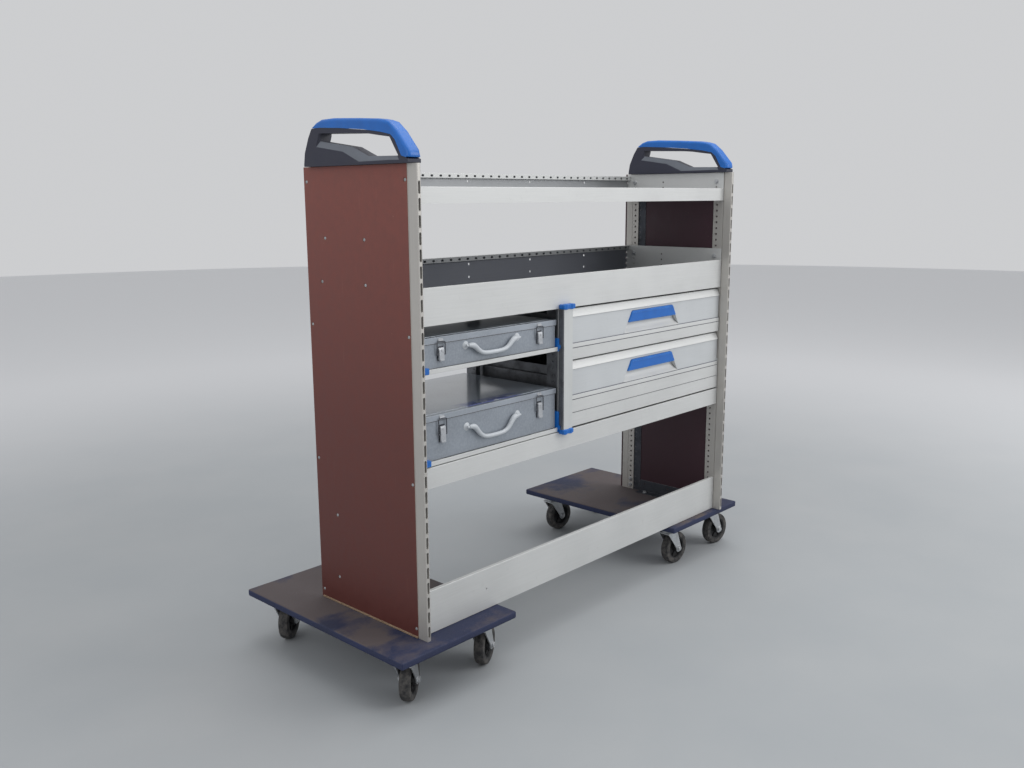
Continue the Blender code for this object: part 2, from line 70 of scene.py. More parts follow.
def srgb(*values):
    """A colour given as 0 to 255, as the linear values that a shader takes."""
    shares = [value / 255 for value in values]
    return tuple(s / 12.92 if s <= 0.04045 else ((s + 0.055) / 1.055) ** 2.4 for s in shares)


def toned(colour, share):
    """A darker or a lighter tone of colour."""
    return tuple(min(1.0, c * share) for c in colour)


def linked(name, data):
    """A new object with that data, in the scene."""
    obj = bpy.data.objects.new(name, data)
    bpy.context.scene.collection.objects.link(obj)
    return obj


def meshed(name, bm):
    mesh = bpy.data.meshes.new(name)
    bm.to_mesh(mesh)
    bm.free()
    return mesh


def facing(place, out):
    """Where a shape made about +Z goes, to stand at place and point to out."""
    return Matrix.Translation(place) @ Vector(out).to_track_quat("Z", "Y").to_matrix().to_4x4()


def block(low, high, edge=0.0, segments=2):
    bm = bmesh.new()
    size = Vector(high) - Vector(low)
    middle = (Vector(high) + Vector(low)) / 2
    bmesh.ops.create_cube(bm, size=1.0, matrix=Matrix.Translation(middle) @ Matrix.Diagonal((*size, 1.0)))
    if edge:
        rounded(bm, edge, segments)
    return bm


def prism(outline, low, high, axis="X"):
    """An outline of two coordinates, swept along axis; the two are the other axes, in order."""
    return loft([outline, outline], [low, high], axis)


def loft(outlines, levels, axis="X"):
    """Outlines with the same number of points, joined one after another along axis, with flat ends."""
    place = {
        "X": lambda a, b, along: (along, a, b),
        "Y": lambda a, b, along: (a, along, b),
        "Z": lambda a, b, along: (a, b, along),
    }[axis]
    bm = bmesh.new()
    rings = []
    for outline, level in zip(outlines, levels):
        rings.append([bm.verts.new(place(a, b, level)) for a, b in outline])
    for ring, following in zip(rings, rings[1:]):
        for i in range(len(ring)):
            j = (i + 1) % len(ring)
            bm.faces.new((ring[i], ring[j], following[j], following[i]))
    bm.faces.new(rings[0])
    bm.faces.new(rings[-1])
    bmesh.ops.recalc_face_normals(bm, faces=bm.faces)
    return bm


def turned(profile, sides=24):
    """A profile of radius and height, turned about Z. It starts and ends on the axis, or in one point."""
    bm = bmesh.new()
    verts = [bm.verts.new((r, 0, z)) for r, z in profile]
    edges = [bm.edges.new(pair) for pair in zip(verts, verts[1:])]
    bmesh.ops.spin(bm, geom=verts + edges, axis=(0, 0, 1), angle=2 * pi, steps=sides, use_merge=True)
    bmesh.ops.remove_doubles(bm, verts=bm.verts, dist=1e-6)
    bmesh.ops.recalc_face_normals(bm, faces=bm.faces)
    return bm


def ring(radius, bore, low, high, edge=0.0003, sides=24):
    """A turned washer or sleeve with small chamfers."""
    rim = [(radius - edge, low), (radius, low + edge), (radius, high - edge), (radius - edge, high)]
    return turned([(bore, low), *rim, (bore, high), (bore, low)], sides)


def tube(points, radius, sides=2, swell=None):
    """A round bar through the points, smoothed; swell gives each point's share of the radius."""
    curve = bpy.data.curves.new("bar", "CURVE")
    curve.dimensions = "3D"
    curve.bevel_depth = radius
    curve.bevel_resolution = sides
    curve.use_fill_caps = True
    spline = curve.splines.new("NURBS")
    spline.points.add(len(points) - 1)
    spline.order_u = 3
    spline.use_endpoint_u = True
    spline.resolution_u = 4
    for i, (point, place) in enumerate(zip(spline.points, points)):
        point.co = (*place, 1)
        point.radius = swell[i] if swell else 1.0
    holder = linked("bar", curve)
    bm = evaluated(holder)
    bpy.data.objects.remove(holder)
    bpy.data.curves.remove(curve)
    bmesh.ops.remove_doubles(bm, verts=bm.verts, dist=1e-6)
    return bm


def evaluated(obj):
    graph = bpy.context.evaluated_depsgraph_get()
    source = obj.evaluated_get(graph)
    mesh = source.to_mesh()
    bm = bmesh.new()
    bm.from_mesh(mesh)
    source.to_mesh_clear()
    return bm


def rounded(bm, width, segments=2, angle=30):
    """Rounds the edges where two faces meet at more than angle."""
    bm.normal_update()
    sharp = [e for e in bm.edges if len(e.link_faces) == 2 and e.calc_face_angle() > radians(angle)]
    bmesh.ops.bevel(bm, geom=sharp, offset=width, segments=segments, affect="EDGES", clamp_overlap=True)
    return bm


def node_copy(node, edge=0.0, segments=2):
    """The CAD node's shape with its triangles merged into flat faces, and its edges rounded."""
    bm = bmesh.new()
    bm.from_mesh(frame["nodes"][node].data)
    bmesh.ops.remove_doubles(bm, verts=bm.verts, dist=1e-5)
    bmesh.ops.dissolve_limit(bm, angle_limit=radians(0.5), verts=bm.verts, edges=bm.edges)
    if edge:
        rounded(bm, edge, segments)
    return bm


def gathered(shapes):
    """Several shapes as one; every face keeps the number of its material."""
    bm = bmesh.new()
    for shape in shapes:
        mesh = meshed("part", shape)
        bm.from_mesh(mesh)
        bpy.data.meshes.remove(mesh)
    return bm


def painted(bm, number, where=None):
    """Gives the faces that pass where, or all of them, the material of that number."""
    for face in bm.faces:
        if where is None or where(face, face.calc_center_median()):
            face.material_index = number
    return bm


def placed(shape, matrix):
    bmesh.ops.transform(shape, matrix=matrix, verts=shape.verts)
    return shape


def repeated(shape, matrices):
    """Copies of shape, one at each matrix, as one shape."""
    copies = [placed(shape.copy(), matrix) for matrix in matrices]
    shape.free()
    return gathered(copies)


def carved(bm, cutters):
    """bm without what the cutters take out."""
    holders = []
    for name, shape in (("blank", bm), ("cutters", gathered(cutters))):
        bmesh.ops.recalc_face_normals(shape, faces=shape.faces)
        holders.append(linked(name, meshed(name, shape)))
    modifier = holders[0].modifiers.new("carve", "BOOLEAN")
    modifier.operation = "DIFFERENCE"
    modifier.solver = "EXACT"
    modifier.object = holders[1]
    made = evaluated(holders[0])
    for holder in holders:
        mesh = holder.data
        bpy.data.objects.remove(holder)
        bpy.data.meshes.remove(mesh)
    return made


def hole(place, axis, radius, depth, sides=10):
    """A round cutter that goes depth into a wall at place, against the direction axis."""
    bm = bmesh.new()
    size = {"radius1": radius, "radius2": radius, "depth": depth + OVERLAP}
    bmesh.ops.create_cone(bm, cap_ends=True, segments=sides, **size)
    shift = Matrix.Translation((0, 0, (OVERLAP - depth) / 2))
    return placed(bm, facing(place, axis) @ shift)


def oblong(place, length, width, depth, upright=False, steps=4):
    """A cutter for a hole with round ends, along X or upright, in a wall that faces -Y at place."""
    x, y, z = place
    half, radius = (length - width) / 2, width / 2
    arc = [(half + radius * sin(pi * i / steps), radius * cos(pi * i / steps)) for i in range(steps + 1)]
    arc += [(-a, -b) for a, b in arc]
    outline = [(x + b, z + a) if upright else (x + a, z + b) for a, b in arc]
    return prism(outline, y - OVERLAP, y + depth, "Y")


def level_normals(obj):
    """Makes each flat face shade flat, so that the rounding stays in the small faces at its edges."""
    weighted = obj.modifiers.new("normals", "WEIGHTED_NORMAL")
    weighted.keep_sharp = True
    weighted.weight = 100
    graph = bpy.context.evaluated_depsgraph_get()
    rough_mesh = obj.data
    name = rough_mesh.name
    obj.data = bpy.data.meshes.new_from_object(obj.evaluated_get(graph), depsgraph=graph)
    obj.modifiers.remove(weighted)
    bpy.data.meshes.remove(rough_mesh)
    obj.data.name = name


def piece(name, bm, body, slot, *materials, stands_for=(), smooth=35):
    """A finished piece: it rides on body, and slot is not used."""
    mesh = meshed(name, bm)
    mesh.shade_smooth()
    mesh.set_sharp_from_angle(angle=radians(smooth))
    obj = linked(name, mesh)
    for material in materials:
        mesh.materials.append(material)
    level_normals(obj)
    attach(obj, body)
    if stands_for:
        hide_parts(*stands_for)
    return obj


# Materials


def rgba(value):
    """A colour or a grey level, with full alpha."""
    return (*value, 1.0) if hasattr(value, "__len__") else (value, value, value, 1.0)


class Look:
    """A material under construction, whose textures follow the object's own coordinates, in metres."""

    def __init__(self, name, colour, roughness, metallic=0.0, **sockets):
        self.material = bpy.data.materials.new(name)
        self.material.use_nodes = True
        self.tree = self.material.node_tree
        self.shader = self.tree.nodes["Principled BSDF"]
        values = {"Base Color": rgba(colour), "Roughness": roughness, "Metallic": metallic, **sockets}
        for socket, value in values.items():
            self.shader.inputs[socket].default_value = value
        self.place = self.node("ShaderNodeTexCoord").outputs["Object"]

    def node(self, kind, **settings):
        made = self.tree.nodes.new(kind)
        for name, value in settings.items():
            setattr(made, name, value)
        return made

    def feed(self, value, socket):
        """Gives a socket a number, a colour, or what another socket gives."""
        if isinstance(value, bpy.types.NodeSocket):
            self.tree.links.new(value, socket)
        else:
            socket.default_value = rgba(value) if socket.type == "RGBA" else value

    def noise(self, scale, detail=4.0, stretch=(1, 1, 1), roughness=0.55, at=(0, 0, 0)):
        """A noise of scale features a metre; stretch makes it finer along each axis."""
        mapping = self.node("ShaderNodeMapping")
        texture = self.node("ShaderNodeTexNoise")
        for name, value in (("Vector", self.place), ("Scale", stretch), ("Location", at)):
            self.feed(value, mapping.inputs[name])
        self.feed(mapping.outputs["Vector"], texture.inputs["Vector"])
        for name, value in (("Scale", scale), ("Detail", detail), ("Roughness", roughness)):
            self.feed(value, texture.inputs[name])
        return texture.outputs["Fac"]

    def cells(self, scale):
        texture = self.node("ShaderNodeTexVoronoi")
        self.feed(scale, texture.inputs["Scale"])
        self.feed(self.place, texture.inputs["Vector"])
        return texture.outputs["Distance"]

    def spread(self, source, low, high, **settings):
        """0 where source is low and 1 where it is high."""
        made = self.node("ShaderNodeMapRange", **settings)
        for name, value in (("Value", source), ("From Min", low), ("From Max", high)):
            self.feed(value, made.inputs[name])
        return made.outputs["Result"]

    def along(self, axis, low, high):
        """0 below low and 1 above high, on one axis of the object."""
        parts = self.node("ShaderNodeSeparateXYZ")
        self.feed(self.place, parts.inputs["Vector"])
        return self.spread(parts.outputs[axis], low, high)

    def ramp(self, source, *stops):
        """Stops are (position, grey level)."""
        made = self.node("ShaderNodeValToRGB")
        elements = made.color_ramp.elements
        while len(elements) < len(stops):
            elements.new(0.5)
        for element, (position, value) in zip(elements, stops):
            element.position = position
            element.color = rgba(value)
        self.feed(source, made.inputs["Fac"])
        return made.outputs["Color"]

    def mix(self, share, one, other):
        """one where share is 0, other where it is 1; each is a socket, a number or a colour."""
        made = self.node("ShaderNodeMix", data_type="RGBA", blend_type="MIX")
        for number, value in ((0, share), (6, one), (7, other)):
            self.feed(value, made.inputs[number])
        return made.outputs[2]

    def blend(self, source, low, high, one, other, most=1.0):
        """one where source is below low, and most of other where it is above high."""
        return self.mix(self.ramp(source, (low, 0.0), (high, most)), one, other)

    def maths(self, kind, one, other):
        made = self.node("ShaderNodeMath", operation=kind, use_clamp=True)
        self.feed(one, made.inputs[0])
        self.feed(other, made.inputs[1])
        return made.outputs["Value"]

    def plus(self, one, other):
        return self.maths("ADD", one, other)

    def times(self, one, other):
        return self.maths("MULTIPLY", one, other)

    def edges(self, radius=0.0015, low=0.0, high=0.12):
        """1 along the outer and inner edges of the piece, 0 on its flats."""
        soft = self.node("ShaderNodeBevel", samples=4)
        self.feed(radius, soft.inputs["Radius"])
        true = self.node("ShaderNodeNewGeometry")
        dot = self.node("ShaderNodeVectorMath", operation="DOT_PRODUCT")
        self.feed(soft.outputs["Normal"], dot.inputs[0])
        self.feed(true.outputs["Normal"], dot.inputs[1])
        return self.spread(dot.outputs["Value"], 1.0 - low, 1.0 - high)

    def colour(self, source):
        self.feed(source, self.shader.inputs["Base Color"])

    def rough(self, source, low, high):
        """The roughness: low where source is 0.3 and high where it is 0.7."""
        self.feed(self.ramp(source, (0.3, low), (0.7, high)), self.shader.inputs["Roughness"])

    def bump(self, source, depth, strength):
        made = self.node("ShaderNodeBump")
        for name, value in (("Height", source), ("Distance", depth), ("Strength", strength)):
            self.feed(value, made.inputs[name])
        self.feed(made.outputs["Normal"], self.shader.inputs["Normal"])


def aluminium(name, colour, grain, roughness=0.48, metallic=0.3):
    """Satin anodised sheet or extrusion: fine drawn lines along the axis where grain is small, and scuffs."""
    look = Look(name, colour, roughness, metallic)
    lines = look.noise(500.0, 3.0, grain)
    cloud = look.noise(7.0, 5.0)
    scuffs = look.ramp(look.noise(60.0, 8.0, roughness=0.7), (0.60, 0.0), (0.72, 1.0))
    shade = look.blend(cloud, 0.32, 0.68, toned(colour, 0.93), colour)
    shade = look.blend(lines, 0.35, 0.65, shade, toned(colour, 1.10), 0.30)
    look.colour(look.mix(look.times(scuffs, 0.15), shade, toned(colour, 0.55)))
    look.rough(cloud, roughness - 0.08, roughness + 0.10)
    look.bump(lines, 0.00001, 0.4)
    return look.material


def phenolic(name, base, painted_low_shade):
    """Plywood with a red-brown phenolic film: a fine weave, mottling and pale scratches, and painted shade
    that darkens it low down.
    """
    look = Look(name, base, 0.42, 0.0, **{"Specular IOR Level": 0.4})
    mottle = look.noise(55.0, 8.0, (1, 1, 0.8), 0.65)
    weave = look.noise(900.0, 2.0)
    shade = look.blend(mottle, 0.32, 0.66, toned(base, 0.84), base)
    shade = look.blend(weave, 0.4, 0.7, shade, toned(base, 1.3), 0.25)
    scratch = look.ramp(look.noise(38.0, 2.0, (1, 6, 0.25), 0.5, (3.1, 0.4, 0)), (0.71, 0.0), (0.745, 0.18))
    speck = look.ramp(look.noise(170.0, 2.0, at=(5, 1, 2)), (0.755, 0.0), (0.79, 0.8))
    shade = look.mix(look.times(look.plus(scratch, speck), 0.5), shade, srgb(176, 138, 122))
    edge_tone = look.times(look.edges(0.002), look.ramp(mottle, (0.42, 0.25), (0.62, 0.85)))
    # painted shade: the film darkens towards its foot, as if the light fell from above
    height = look.along("Z", DECK_TOP, DECK_TOP + 1.05)
    shade = look.mix(look.ramp(height, (0.0, 0.62), (0.45, 0.48), (1.0, 0.0)), shade, painted_low_shade)
    look.colour(look.mix(edge_tone, shade, srgb(150, 112, 92)))
    look.rough(mottle, 0.36, 0.55)
    look.bump(weave, 0.00006, 0.6)
    return look.material


def moulded(name, colour, roughness=0.45, grain=0.00005, edge_tone=None):
    """Injection-moulded plastic with a fine spark-eroded grain, and edges made lighter in patches as a
    painted highlight.
    """
    look = Look(name, colour, roughness)
    skin = look.noise(1400.0, 2.0)
    cloud = look.noise(26.0, 6.0)
    shade = look.blend(cloud, 0.3, 0.7, toned(colour, 0.86), colour)
    # painted highlight: the edges turn lighter, more in some patches than in others
    pale_edges = look.times(look.edges(0.0025, 0.02, 0.25), look.ramp(cloud, (0.35, 0.1), (0.65, 0.6)))
    look.colour(look.mix(pale_edges, shade, edge_tone or tuple(min(1.0, c * 1.5 + 0.02) for c in colour)))
    look.rough(cloud, roughness - 0.05, roughness + 0.10)
    look.bump(skin, grain, 0.6)
    return look.material


def board_cover():
    """Navy cover of the dolly boards: fibrous, trodden to a grey-brown behind the middle, chipped at the
    edges.
    """
    navy = srgb(40, 49, 84)
    look = Look("board_cover", navy, 0.75, 0.0, **{"Specular IOR Level": 0.3})
    fibre = look.noise(420.0, 5.0, roughness=0.7)
    patch = look.noise(5.5, 7.0, (1, 1.3, 1), 0.62)
    shade = look.blend(patch, 0.35, 0.65, srgb(32, 38, 64), navy)
    from_front = look.along("Y", FRAME_Y - 0.20, FRAME_Y + 0.22)
    from_back = look.along("Y", FRAME_Y + 0.38, FRAME_Y + 0.30)
    trodden = look.times(look.times(from_front, from_back), 0.5)
    rub = look.ramp(look.plus(look.ramp(patch, (0.34, 0.0), (0.60, 1.0)), trodden), (0.45, 0.0), (1.0, 1.0))
    top = look.along("Z", DECK_TOP - 0.003, DECK_TOP - 0.001)
    dust = look.mix(look.times(look.times(rub, top), 0.95), shade, srgb(92, 82, 78))
    dust = look.blend(fibre, 0.35, 0.75, dust, srgb(92, 96, 112), 0.35)
    chip = look.ramp(look.noise(55.0, 4.0, at=(2, 7, 1)), (0.60, 0.0), (0.64, 1.0))
    chipped = look.times(look.edges(0.004, 0.05, 0.3), chip)
    flecks = look.ramp(look.noise(240.0, 3.0, at=(4, 4, 4)), (0.72, 0.0), (0.78, 0.7))
    look.colour(look.mix(look.plus(chipped, look.times(flecks, top)), dust, srgb(150, 148, 150)))
    look.rough(patch, 0.62, 0.85)
    look.bump(fibre, 0.0004, 0.6)
    return look.material


def enamel(name, roughness, gloss, grey=srgb(140, 149, 160), tape=False):
    """Grey hammer enamel of the cases, with its gloss as a coat, and perhaps with a trace of blue tape."""
    look = Look(name, grey, roughness, 0.25, **{"Coat Weight": gloss, "Coat Roughness": 0.12})
    dimples = look.noise(230.0, 2.0)
    cloud = look.noise(9.0, 6.0)
    shade = look.blend(cloud, 0.3, 0.7, toned(grey, 0.78), grey)
    shade = look.blend(dimples, 0.4, 0.7, shade, srgb(172, 180, 188), 0.25)
    pale_edges = look.times(look.edges(0.0015, 0.03, 0.3), look.ramp(cloud, (0.4, 0.1), (0.6, 0.6)))
    shade = look.mix(pale_edges, shade, srgb(190, 194, 198))
    if tape:
        shade = look.mix(tape_mask(look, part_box("case_lid_lower")[0]), shade, srgb(44, 62, 128))
    look.colour(shade)
    look.bump(dimples, 0.00012, 0.35)
    return look.material


def tape_mask(look, corner):
    """A torn strip near the front edge of the lid with that lowest corner."""
    left, right = (look.along("X", corner.x + a, corner.x + b) for a, b in ((0.130, 0.165), (0.355, 0.320)))
    front, back = (look.along("Y", corner.y + a, corner.y + b) for a, b in ((0.006, 0.012), (0.052, 0.036)))
    torn = look.ramp(look.noise(60.0, 6.0, (0.5, 1, 1), 0.7), (0.40, 0.0), (0.48, 1.0))
    return look.times(look.times(look.times(left, right), look.times(front, back)), torn)


def metal(name, colour, roughness, metallic=0.9, stain=0.3):
    """Zinc or nickel plating: a cloudy spangle, dull marks and clean bright edges."""
    look = Look(name, colour, roughness, metallic)
    cloud = look.noise(40.0, 6.0)
    shade = look.blend(look.cells(260.0), 0.1, 0.7, colour, toned(colour, 1.25), 0.5)
    shade = look.blend(cloud, 0.45, 0.68, shade, toned(colour, 0.45), stain)
    look.colour(look.mix(look.times(look.edges(0.0008, 0.05, 0.3), 0.5), shade, (0.85, 0.85, 0.85)))
    look.rough(cloud, roughness - 0.06, roughness + 0.16)
    look.bump(cloud, 0.00008, 0.5)
    return look.material


def rubber():
    look = Look("rubber", srgb(64, 64, 66), 0.7, 0.0, **{"Specular IOR Level": 0.3})
    dust = look.noise(75.0, 7.0, roughness=0.65)
    look.colour(look.blend(dust, 0.38, 0.66, srgb(46, 46, 48), srgb(98, 95, 92)))
    look.rough(dust, 0.55, 0.85)
    look.bump(look.noise(900.0, 3.0), 0.0001, 0.6)
    return look.material


ALONG_X, ALONG_Y, ALONG_Z = (0.02, 1, 1), (1, 0.02, 1), (1, 1, 0.02)
SATIN_X = aluminium("satin_aluminium_x", srgb(207, 208, 207), ALONG_X)
BLUISH = aluminium("satin_aluminium_recessed", srgb(201, 204, 206), ALONG_X)
SATIN_POST = aluminium("satin_aluminium_post", srgb(205, 207, 206), ALONG_Z, 0.42, 0.4)
SATIN_Z = aluminium("satin_aluminium_z", srgb(190, 187, 182), ALONG_Z, 0.42, 0.5)
# a dark sheet: on the inner faces of the middle and lower shelves' back walls, and as painted shade in the
# drawer fronts' grooves
SHADED = aluminium("dark_sheet_and_groove_shade", srgb(108, 111, 119), ALONG_X, 0.5, 0.4)
SLATE = aluminium("slate_sheet", srgb(156, 158, 160), ALONG_Y, 0.45, 0.5)
PHENOLIC = phenolic("phenolic", srgb(130, 74, 66), srgb(58, 24, 24))
# a darker copy of the phenolic for the panels' inner faces: painted shade
PHENOLIC_SHADED_INSIDE = phenolic("phenolic_inside_painted_shade", srgb(72, 46, 56), srgb(52, 28, 36))
# the lighter edge colours given to the blue and the light grey plastic are painted highlights
BLUE = moulded("blue_plastic", srgb(10, 102, 190), 0.34, edge_tone=srgb(84, 156, 222))
NAVY = moulded("anthracite_plastic", srgb(44, 46, 62), 0.5, 0.00008)
LEDGE_GREY = moulded("grey_plastic", srgb(112, 117, 126), 0.55)
PALE = moulded("light_grey_plastic", srgb(196, 201, 206), 0.35, edge_tone=srgb(228, 230, 232))
COVER = board_cover()
ZINC = metal("zinc", srgb(196, 198, 200), 0.34)
NICKEL = metal("nickel", srgb(170, 173, 177), 0.42, 0.45, 0.35)
# a dark zinc, also used as painted shade on the divider nose's left-facing faces
DARK_ZINC_AND_SHADE = metal("dark_zinc_and_painted_shade", srgb(112, 114, 118), 0.42, 0.8, 0.5)
# a dark steel, also used as painted shade: on the base angles, in the front uprights' slots, on the back
# uprights' thin flanges and under the cases' lids
DARK_STEEL_AND_SHADE = metal("dark_steel", srgb(70, 73, 80), 0.45, 0.6, 0.4)
HUB = moulded("black_hub", srgb(30, 30, 32), 0.5)
RUBBER = rubber()
CASE_GREY = enamel("grey_enamel", 0.45, 0.15, srgb(144, 151, 160))
LID_RIM = enamel("grey_enamel_rim", 0.45, 0.05, srgb(158, 165, 174))
LID_UPPER = enamel("grey_enamel_lid", 0.30, 0.8)
LID_LOWER = enamel("grey_enamel_taped_lid", 0.30, 0.8, tape=True)
EDGE_WOOD = moulded("plywood_edge", srgb(150, 126, 104), 0.7, 0.0002)


# Fasteners


def pan_screw(radius):
    """A small screw with a domed head and a cross recess, its head outwards along +Z."""
    dome = [(radius, 0.0004), (radius * 0.75, 0.0014), (0, 0.0017)]
    head = turned([(0, -0.0015), (radius, -0.0015), *dome], 16)
    arm, reach = radius * 0.14, radius * 0.55
    cross = [block((-a, -b, 0.0004), (a, b, 0.003)) for a, b in ((arm, reach), (reach, arm))]
    head = carved(head, [cross[0]])
    return carved(head, [cross[1]])


def hex_head(across, height, middle=0.0):
    """A chamfered hexagon, across its flats, about a height of middle."""
    bm = bmesh.new()
    radius = across / 2 / cos(pi / 6)
    bmesh.ops.create_cone(bm, cap_ends=True, segments=6, radius1=radius, radius2=radius, depth=height)
    return rounded(placed(bm, Matrix.Translation((0, 0, middle))), 0.0006, 2, 45)


def hex_bolt(across=0.010, height=0.0042):
    """A hexagon head on a washer, with a chamfered crown, outwards along +Z."""
    head = hex_head(across, height, 0.0014 + height / 2)
    washer = turned([(0, 0), (across * 0.68, 0), (across * 0.72, 0.0003), (across * 0.72, 0.0011),
                     (across * 0.66, 0.0014), (0, 0.0014)], 20)
    crown = turned([(0, height), (across * 0.30, height), (across * 0.26, height + 0.0016),
                    (0, height + 0.0020)], 12)
    return gathered([head, washer, crown])


def group(name, shape, spots, body, slot, material):
    """One piece of identical fasteners: spots are (place, direction of the head)."""
    return piece(name, repeated(shape, [facing(place, out) for place, out in spots]), body, slot, material)


# Side frames

PANEL_SCREW_ROWS = [0.021, 0.360, 0.688, 1.018]
PANEL_SCREW_Y = (FRAME_Y - 0.154, FRAME_Y + 0.190)
EXTRA_SCREWS = [
    (0.128, 0.891), (-0.0135, 0.891), (0.1455, 0.791), (-0.013, 0.791), (0.124, 0.228), (0.126, 0.069),
]
PITCH = 0.0175  # of the round holes in the uprights
SLOT_PITCH = 2 * PITCH
SLOT_SIZE = (0.027, 0.0058, 0.010)  # length, width and depth
PUNCHED = (0.0032, 0.0080)  # radius and depth of the uprights' round holes


def heights(first, pitch, margin=0.012):
    """Heights on a side frame, from first above its foot up to its top."""
    count = int((FRAME_TOP - FRAME_FOOT - first - margin) / pitch) + 1
    return [FRAME_FOOT + first + i * pitch for i in range(count)]


def side_frame(word, side):
    panel_low, panel_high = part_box(f"side_panel_{word}")
    out = panel_low.x if side < 0 else panel_high.x
    outwards, inwards = (side, 0, 0), (-side, 0, 0)

    def at(depth):
        """The X that lies depth in from the panel's outer face."""
        return out - side * depth

    screws = [(y, DECK_TOP + z) for y in PANEL_SCREW_Y for z in PANEL_SCREW_ROWS]
    screws += [(FRAME_Y + y, DECK_TOP + z) for y, z in EXTRA_SCREWS]
    sunk = 0.0012
    countersinks = [hole((out, y, z), outwards, 0.0052, sunk, 14) for y, z in screws]
    panel = carved(node_copy(f"side_panel_{word}", 0.0006), countersinks)
    # the inner faces take the darker phenolic: painted shade
    painted(panel, 1, lambda face, centre: face.normal.x * side < -0.9)
    piece(f"side_panel_skin_{word}", panel, "racking", "phenolic_plywood", PHENOLIC, PHENOLIC_SHADED_INSIDE,
          stands_for=[f"side_panel_{word}"])
    spots = [((at(sunk), y, z), outwards) for y, z in screws]
    group(f"panel_screws_{word}", pan_screw(0.0036), spots, "racking", "zinc_steel", NICKEL)
    packing_low, packing_high = sorted((at(-0.0035), at(0.0)))
    packing = block((packing_low, FRONT + STRIP, FRAME_FOOT),
                    (packing_high, BACK, FRAME_FOOT + 0.0042), 0.0008)
    piece(f"packing_strip_{word}", packing, "racking", "phenolic_plywood", EDGE_WOOD)

    upright_front(word, at, inwards)
    upright_back(word, at, inwards)

    angle_low, angle_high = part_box(f"base_angle_{word}")
    web_x = at(0.0068 + 0.0014)
    spots_y = [angle_low.y + 0.05 + 0.09 * i for i in range(3)]
    cuts = [hole((web_x, y, angle_low.z + 0.026), inwards, 0.0028, 0.003) for y in spots_y]
    angle = carved(node_copy(f"base_angle_{word}", 0.0004), cuts)
    # the base angle takes the dark steel: painted shade on the aluminium angle at the frame's foot
    piece(f"base_angle_skin_{word}", angle, "racking", "dark_steel", DARK_STEEL_AND_SHADE,
          stands_for=[f"base_angle_{word}"])
    ends = (angle_low.y + 0.03, angle_high.y - 0.03)
    spots = [((at(0.024), y, FRAME_FOOT + 0.0014), (0, 0, 1)) for y in ends]
    group(f"base_bolts_{word}", hex_bolt(), spots, "racking", "zinc_steel", ZINC)
    foot_spots = [((at(0.011), BACK - 0.036, FRAME_FOOT + z), inwards) for z in (0.014, 0.034)]
    group(f"foot_bolts_{word}", hex_bolt(), foot_spots, "racking", "zinc_steel", ZINC)
    handle(word)


def upright_front(word, at, inwards):
    """Extruded front upright: rounded nose, groove, and a perforated flange behind a step."""
    flange = 0.0103
    outline = [
        (0.0, 0.0018), (0.0006, 0.0006), (0.0018, 0.0), (0.0092, 0.0), (0.0104, 0.0006), (0.0110, 0.0018),
        (0.0110, 0.0246), (0.0092, 0.0249), (0.0092, 0.0261), (0.0110, 0.0264), (0.0110, 0.0366),
        (flange, 0.0371), (flange, 0.0600), (0.0068, 0.0600), (0.0068, STRIP - 0.0003),
        (0.0004, STRIP - 0.0003), (0.0, STRIP - 0.0008), (0.0, STRIP - 0.0022), (0.0007, STRIP - 0.0025),
        (0.0007, STRIP - 0.0033), (0.0, STRIP - 0.0036),
    ]
    section = [(at(depth), FRONT + y) for depth, y in outline]
    bar = prism(section, FRAME_FOOT, FRAME_TOP, "Z")
    slots = [oblong((at(0.0056), FRONT, z), *SLOT_SIZE, upright=True, steps=5)
             for z in heights(0.022, SLOT_PITCH, 0.02)]
    holes = [hole((at(flange), FRONT + 0.0485, z), inwards, *PUNCHED) for z in heights(0.010, PITCH)]
    piece(f"upright_front_skin_{word}", carved(bar, slots + holes), "racking", "satin_aluminium", SATIN_Z,
          stands_for=[f"upright_front_{word}"], smooth=40)
    # the slots end on a dark strip inside the upright: painted shade in the slots
    low, high = sorted((at(0.0022), at(0.0090)))
    long_shape = block((low, FRONT + 0.0096, FRAME_FOOT + 0.004), (high, FRONT + 0.0106, FRAME_TOP - 0.004), 0.0002)
    piece(f"upright_slot_shade_{word}", long_shape, "racking", "dark_steel", DARK_STEEL_AND_SHADE)


def upright_back(word, at, inwards):
    """Back upright: a thin flange with holes, darkened with painted shade, a perforated face and a rounded
    rear edge.
    """
    thin, face = 0.0080, 0.0110
    outline = [
        (0.0068, BACK - 0.0740), (thin, BACK - 0.0740), (thin, BACK - 0.0478), (face - 0.0005, BACK - 0.0475),
        (face, BACK - 0.0468), (face, BACK - 0.0250), (face - 0.0008, BACK - 0.0247),
        (face - 0.0008, BACK - 0.0235),
        (face, BACK - 0.0232), (face, BACK - 0.0035), (face - 0.0020, BACK - 0.0005), (0.0068, BACK - 0.0005),
    ]
    bar = prism([(at(depth), y) for depth, y in outline], FRAME_FOOT, FRAME_TOP, "Z")
    holes = [hole((at(face), BACK - 0.0360, z), inwards, *PUNCHED) for z in heights(0.010, PITCH)]
    holes += [hole((at(thin), BACK - 0.0535, z), inwards, 0.0025, 0.0010) for z in heights(0.010, PITCH)]
    # the thin flange takes the dark steel: painted shade for the shadow of the shelves
    bar = painted(carved(bar, holes), 1, lambda face, centre: centre.y < BACK - 0.0476)
    piece(f"upright_back_skin_{word}", bar, "racking", "satin_aluminium", SATIN_Z, DARK_STEEL_AND_SHADE,
          stands_for=[f"upright_back_{word}"], smooth=40)


